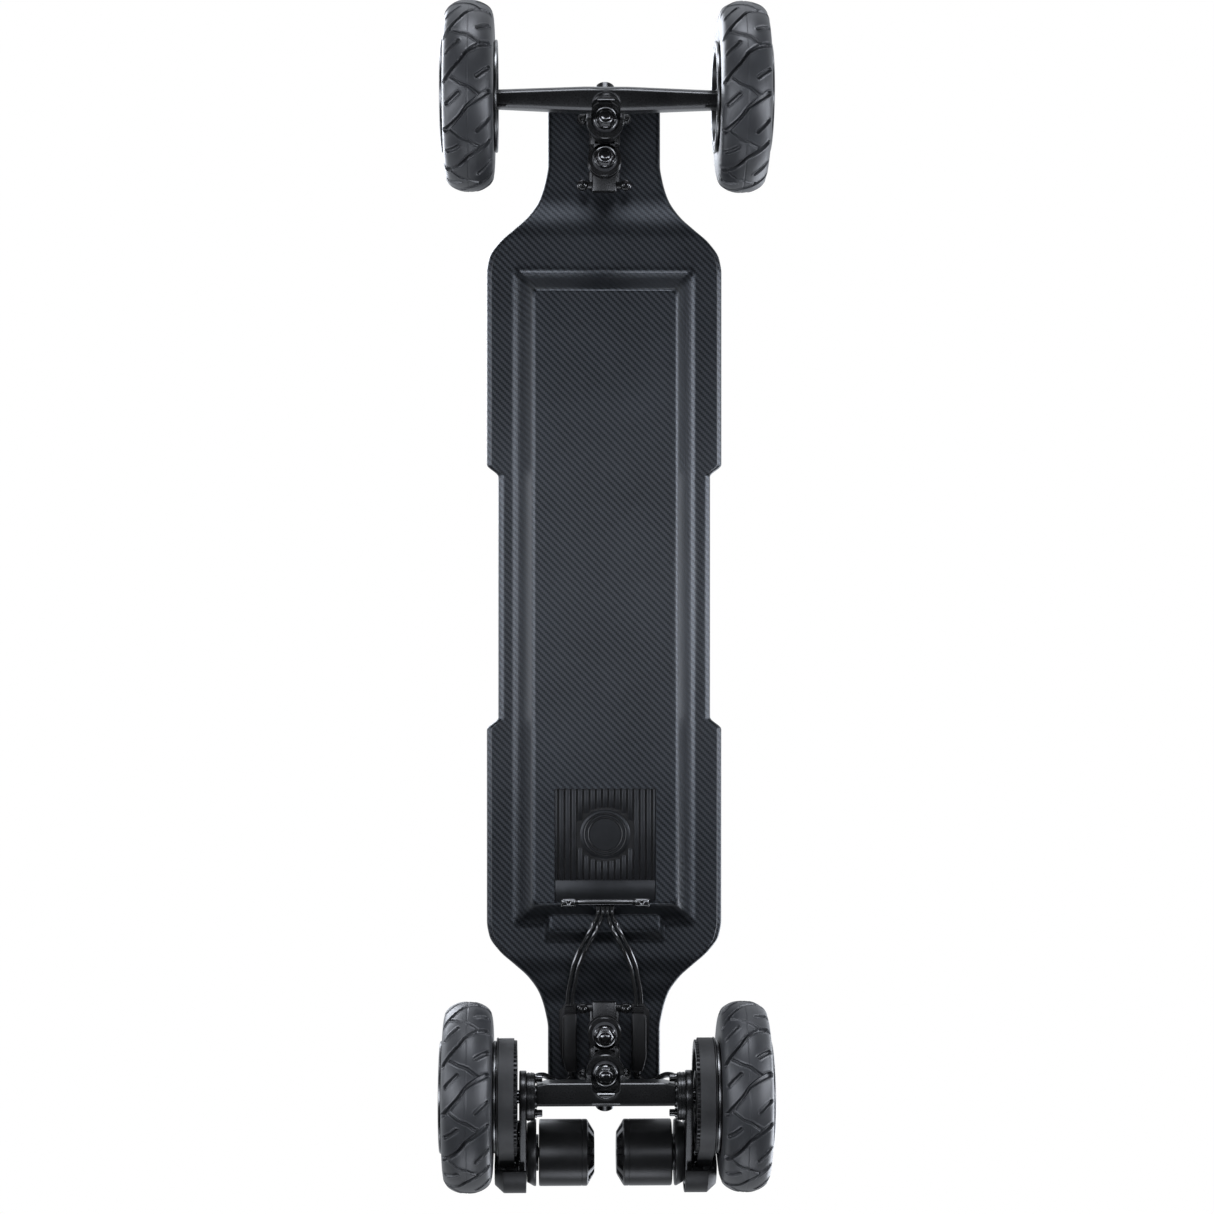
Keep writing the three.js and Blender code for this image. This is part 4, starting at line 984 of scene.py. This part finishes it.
def drive(side, tag):
    wheel_body = "rear_right_wheel" if side > 0 else "rear_left_wheel"

    def ax(x):
        return (side * x, HUB[0], HUB[1])

    def mo(x):
        return (side * x, MOT[0], MOT[1])

    flange = [(18, 99.9), (53.6, 99.8), (54.4, 100.2), (54.4, 101.2), (53.8, 101.6), (18, 101.6)]
    pulley = [cog(TEETH_WHEEL, R_WHEEL, HUB, side * 82.7, side * 100, 43.5),
              lathe(ax(0), ax(10), flange, 120, True), pipe(ax(82.9), ax(100), 18, 23, 64, 0.6)]
    for c, s in spaced(SPOKES):
        rings = [[(side * x, HUB[0] + r * c - m * s, HUB[1] + r * s + m * c)
                  for m, x in ((-w, 84.6), (w, 84.6), (w, 99.0), (-w, 99.0))]
                 for r, w in ((21.5, 5), (30, 4), (44.2, 6.5))]
        pulley.append(bevelled(loft(rings), 0.7))
    piece(f"toothed_wheel_pulley_{tag}", join(pulley), SATIN, wheel_body,
          f"wheel_pulley_{tag}")
    screws = []
    for c, s in spaced(SPOKES, skip=0.5):
        y, z = HUB[0] + 34 * c, HUB[1] + 34 * s
        screws.append(rod((side * 96, y, z), (side * 106, y, z), 3.0, None, 24, 0.4))
    piece(f"pulley_screws_{tag}", join(screws), STEEL, wheel_body)
    piece(f"toothed_belt_{tag}", belt_mesh(side * 85.5, side * 99.5), BELT, "rear_hanger",
          f"drive_belt_{tag}", sharp=30)

    plate = [bevelled(prism(wrapped(24, 29.5), side * 74, side * 80.7), 1.0, 2),
             pipe(ax(66), ax(74.5), 10.7, 22, 80, 1.2)]
    for k in CLAMP_ENDS:
        y = HUB[0] + k
        lug = slab(side * 66.2, side * 73.5, y - 4.4, y + 4.4, HUB[1] - 6, HUB[1] + 6)
        plate.append(bevelled(lug, 1.4, 3))
    for x in (68.5, 71.5):
        plate.append(pipe(ax(x), ax(x + 1.4), 20, 22.4, 96, 0.4))
    piece(f"motor_mount_plate_{tag}", join(plate), CAST, "rear_hanger", f"motor_mount_{tag}")
    screw = [(3.4, 0), (3.4, 0.9), (3.0, 1.4), (1.6, 1.5), (1.5, 0.6)]
    bolts = []
    for k, end in zip((-1, 1), CLAMP_ENDS):
        a, b, c, d, e, f = [(side * x, HUB[0] + end, HUB[1]) for x in (59.2, 64.4, 61.5, 66.4, 64.2, 66.0)]
        bolts += [pipe(a, b, 1.9, 3.3, 32, 0.5), rod(c, d, 3.0, None, 32, 0.2), pipe(e, f, 2.6, 4.3, 32, 0.4)]
        for m in (-1, 1):
            c, s = math.cos(math.pi / 4), math.sin(math.pi / 4)
            y2, z2 = MOT[0] + 19 * c * k, MOT[1] + 19 * s * m
            bolts.append(lathe((side * 80.6, y2, z2), (side * 82, y2, z2), screw, 24))
    piece(f"mount_screws_{tag}", join(bolts), GLOSS, "rear_hanger")

    bell = [(5.4, 62.9), (16.4, 62.9), (17, 63.5), (17, 65.0), (30.4, 65.0), (31, 65.6), (31, 67.0),
            (27.4, 73.4), (26.8, 73.7), (5.4, 73.7)]
    piece(f"motor_base_flange_{tag}", lathe(mo(0), mo(10), bell, 96, True), DARK_ALLOY, "rear_hanger",
          f"motor_base_{tag}")

    rotor = f"motor_rotor_{tag}"
    can = [motor_shell(mo), rod(mo(60), mo(100.4), 5.0, None, 48, 0.6),
           rod(mo(10.5), mo(14), 4.2, 4.2, 32, 0.4)]
    piece(f"motor_shell_{tag}", join(can), SATIN, rotor, f"motor_can_{tag}", sharp=28)
    teeth = [cog(TEETH_MOTOR, R_MOTOR, MOT, side * 84.2, side * 99.8, 5.1),
             pipe(mo(83.2), mo(85), 5.2, 11.6, 48, 0.3)]
    piece(f"motor_cog_{tag}", join(teeth), STEEL, rotor, f"motor_pulley_{tag}")

    d = MOT - HUB
    d /= np.hypot(*d)
    face = math.atan2(d[1], d[0])
    n, back, outer, flat = 80, 8, 37.4, 29.0  # the guard is cut off this far behind the motor's axis
    half = math.acos(-back / outer)
    angles = np.linspace(face - half, face + half, n)
    prof = [(34.8, 74.4), (37.0, 74.4), (outer, 74.8), (outer, 94.8), (37.2, 95.6), (30.2, 103.3),
            (29.4, 103.9), (28.6, 103.9), (28.6, 101.5), (34.8, 94.4)]
    rows = [[(side * x, MOT[0] + r * math.cos(a), MOT[1] + r * math.sin(a)) for a in angles] for r, x in prof]
    faces = grid_faces(len(prof), n, wrap_rows=True, wrap_cols=False)
    faces += [tuple(i * n for i in range(len(prof))), tuple(i * n + n - 1 for i in range(len(prof)))]
    half = math.acos(-back / flat)
    cap = [(MOT[0] + flat * math.cos(a), MOT[1] + flat * math.sin(a))
           for a in np.linspace(face - half, face + half, 64)]
    guard = [(np.array(rows, float).reshape(-1, 3), faces), prism(cap, side * 101.5, side * 103.9)]
    screw = [(3.6, 0), (3.6, 0.15), (3.2, 0.5), (1.7, 0.5), (1.5, 0)]
    for k in (-0.6, 0.6):
        y, z = MOT[0] + 22 * math.cos(face + k), MOT[1] + 22 * math.sin(face + k)
        guard.append(lathe((side * 103.8, y, z), (side * 105, y, z), screw, 24))
    piece(f"belt_cover_{tag}", join(guard), PLASTIC, "rear_hanger",
          f"belt_guard_{tag}", sharp=28)


drive(1, "r")
drive(-1, "l")

CARRIED = {"deck_lid": (CARBON, "carbon"), "port_panel": (TRIM, "black_plastic"),
           "battery_pack": (CELLS, "cell_pack"), "motor_controller": (BOARD, "circuit")}
for name, (mat, slot) in CARRIED.items():
    NODES[name].data.materials.clear()
    NODES[name].data.materials.append(mat)

# ---------- floor, light, camera ----------

floor_mesh = bpy.data.meshes.new("studio_floor")
half = 6
floor_mesh.from_pydata([(-half, -half, 0), (half, -half, 0), (half, half, 0), (-half, half, 0)], [],
                       [(0, 1, 2, 3)])
floor = bpy.data.objects.new("studio_floor", floor_mesh)
bpy.context.scene.collection.objects.link(floor)
floor_mesh.materials.append(FLOOR)
# The camera is below the floor: from there it is see-through and casts nothing on the board.
floor.visible_shadow = False
floor.visible_diffuse = False
floor.visible_glossy = False
ft = FLOOR.node_tree
out = next(n for n in ft.nodes if n.type == "OUTPUT_MATERIAL")
shader = next(n for n in ft.nodes if n.type == "BSDF_PRINCIPLED")
clear = ft.nodes.new("ShaderNodeBsdfTransparent")
mix = ft.nodes.new("ShaderNodeMixShader")
geo = ft.nodes.new("ShaderNodeNewGeometry")
ft.links.new(geo.outputs["Backfacing"], mix.inputs[0])
ft.links.new(shader.outputs[0], mix.inputs[1])
ft.links.new(clear.outputs[0], mix.inputs[2])
ft.links.new(mix.outputs[0], out.inputs[0])


def lamp(name, at, energy, w, h, target=(0, 0, 0.1)):
    data = bpy.data.lights.new(name, "AREA")
    data.shape = "RECTANGLE"
    data.size, data.size_y = w, h
    data.energy = energy
    data.color = (0.87, 0.91, 1.0)
    obj = bpy.data.objects.new(name, data)
    bpy.context.scene.collection.objects.link(obj)
    obj.location = at
    obj.rotation_euler = (Vector(target) - Vector(at)).to_track_quat("-Z", "Y").to_euler()


LAMPS = [
    ("left_box", (1.5, 0.1, -1.9), 34, 0.9, 2.2),
    ("left_side", (2.1, 0.1, -0.5), 34, 0.9, 2.4),
    ("nose_side", (0.0, 2.5, -0.6), 48, 1.4, 0.8, (0, 0.3, 0.1)),
    ("tail_side", (0.0, -2.5, -0.6), 18, 1.4, 0.8, (0, -0.3, 0.1)),
    ("right_box", (-2.1, 0.1, -0.5), 60, 0.9, 2.4),
    ("right_strip", (-1.35, 0.0, -1.8), 16, 0.22, 2.4),
    ("left_near", (0.68, 0.0, -2.2), 7, 0.6, 2.6),
    ("upper_left", (1.9, 0.0, 1.8), 8, 1.0, 2.6),
    ("upper_right", (-1.9, 0.0, 1.8), 6, 1.0, 2.6),
    ("upper_nose", (0.0, 2.6, 1.2), 6, 1.6, 1.0, (0, 0.4, 0.1)),
    ("top_key", (1.4, 1.0, 2.4), 60, 1.6, 1.6),
    ("top_fill", (-1.8, -1.2, 1.8), 40, 1.6, 1.6),
]
for row in LAMPS:
    lamp(*row)

# White to the camera; the light it sheds is dimmer from below than from above.
world = bpy.data.worlds.new("studio")
bpy.context.scene.world = world
world.use_nodes = True
wt = world.node_tree
wt.nodes.clear()
wo = wt.nodes.new("ShaderNodeOutputWorld")
seen = wt.nodes.new("ShaderNodeBackground")
lit = wt.nodes.new("ShaderNodeBackground")
seen.inputs[0].default_value = (1, 1, 1, 1)
lit.inputs[0].default_value = (0.9, 0.94, 1, 1)
sky = wt.nodes.new("ShaderNodeTexCoord")
sky_z = wt.nodes.new("ShaderNodeSeparateXYZ")
sky_up = wt.nodes.new("ShaderNodeMapRange")
for name, value in (("From Min", -0.25), ("From Max", 0.35), ("To Min", 0.05), ("To Max", 0.75)):
    sky_up.inputs[name].default_value = value
wt.links.new(sky.outputs["Generated"], sky_z.inputs[0])
wt.links.new(sky_z.outputs[2], sky_up.inputs[0])
wt.links.new(sky_up.outputs[0], lit.inputs[1])
pick = wt.nodes.new("ShaderNodeMixShader")
rays = wt.nodes.new("ShaderNodeLightPath")
wt.links.new(rays.outputs["Is Camera Ray"], pick.inputs[0])
wt.links.new(lit.outputs[0], pick.inputs[1])
wt.links.new(seen.outputs[0], pick.inputs[2])
wt.links.new(pick.outputs[0], wo.inputs[0])
bpy.context.scene.view_settings.view_transform = "Standard"

cam_data = bpy.data.cameras.new("camera")
cam_data.sensor_width = 36
cam_data.lens = 76.45
cam_data.clip_end = 50
cam = bpy.data.objects.new("camera", cam_data)
bpy.context.scene.collection.objects.link(cam)
CAMERA_AT, CAMERA_AIM = (0.055, 0.0, -2.3125), (-0.001, -0.0093, 0.0875)
cam.location = CAMERA_AT
aim = (Vector(CAMERA_AIM) - cam.location).normalized()
side_v = aim.cross(Vector((0, 1, 0))).normalized()
up_v = side_v.cross(aim)
cam.matrix_world = Matrix((
    (side_v.x, up_v.x, -aim.x, cam.location.x),
    (side_v.y, up_v.y, -aim.y, cam.location.y),
    (side_v.z, up_v.z, -aim.z, cam.location.z),
    (0, 0, 0, 1),
))
bpy.context.scene.camera = cam
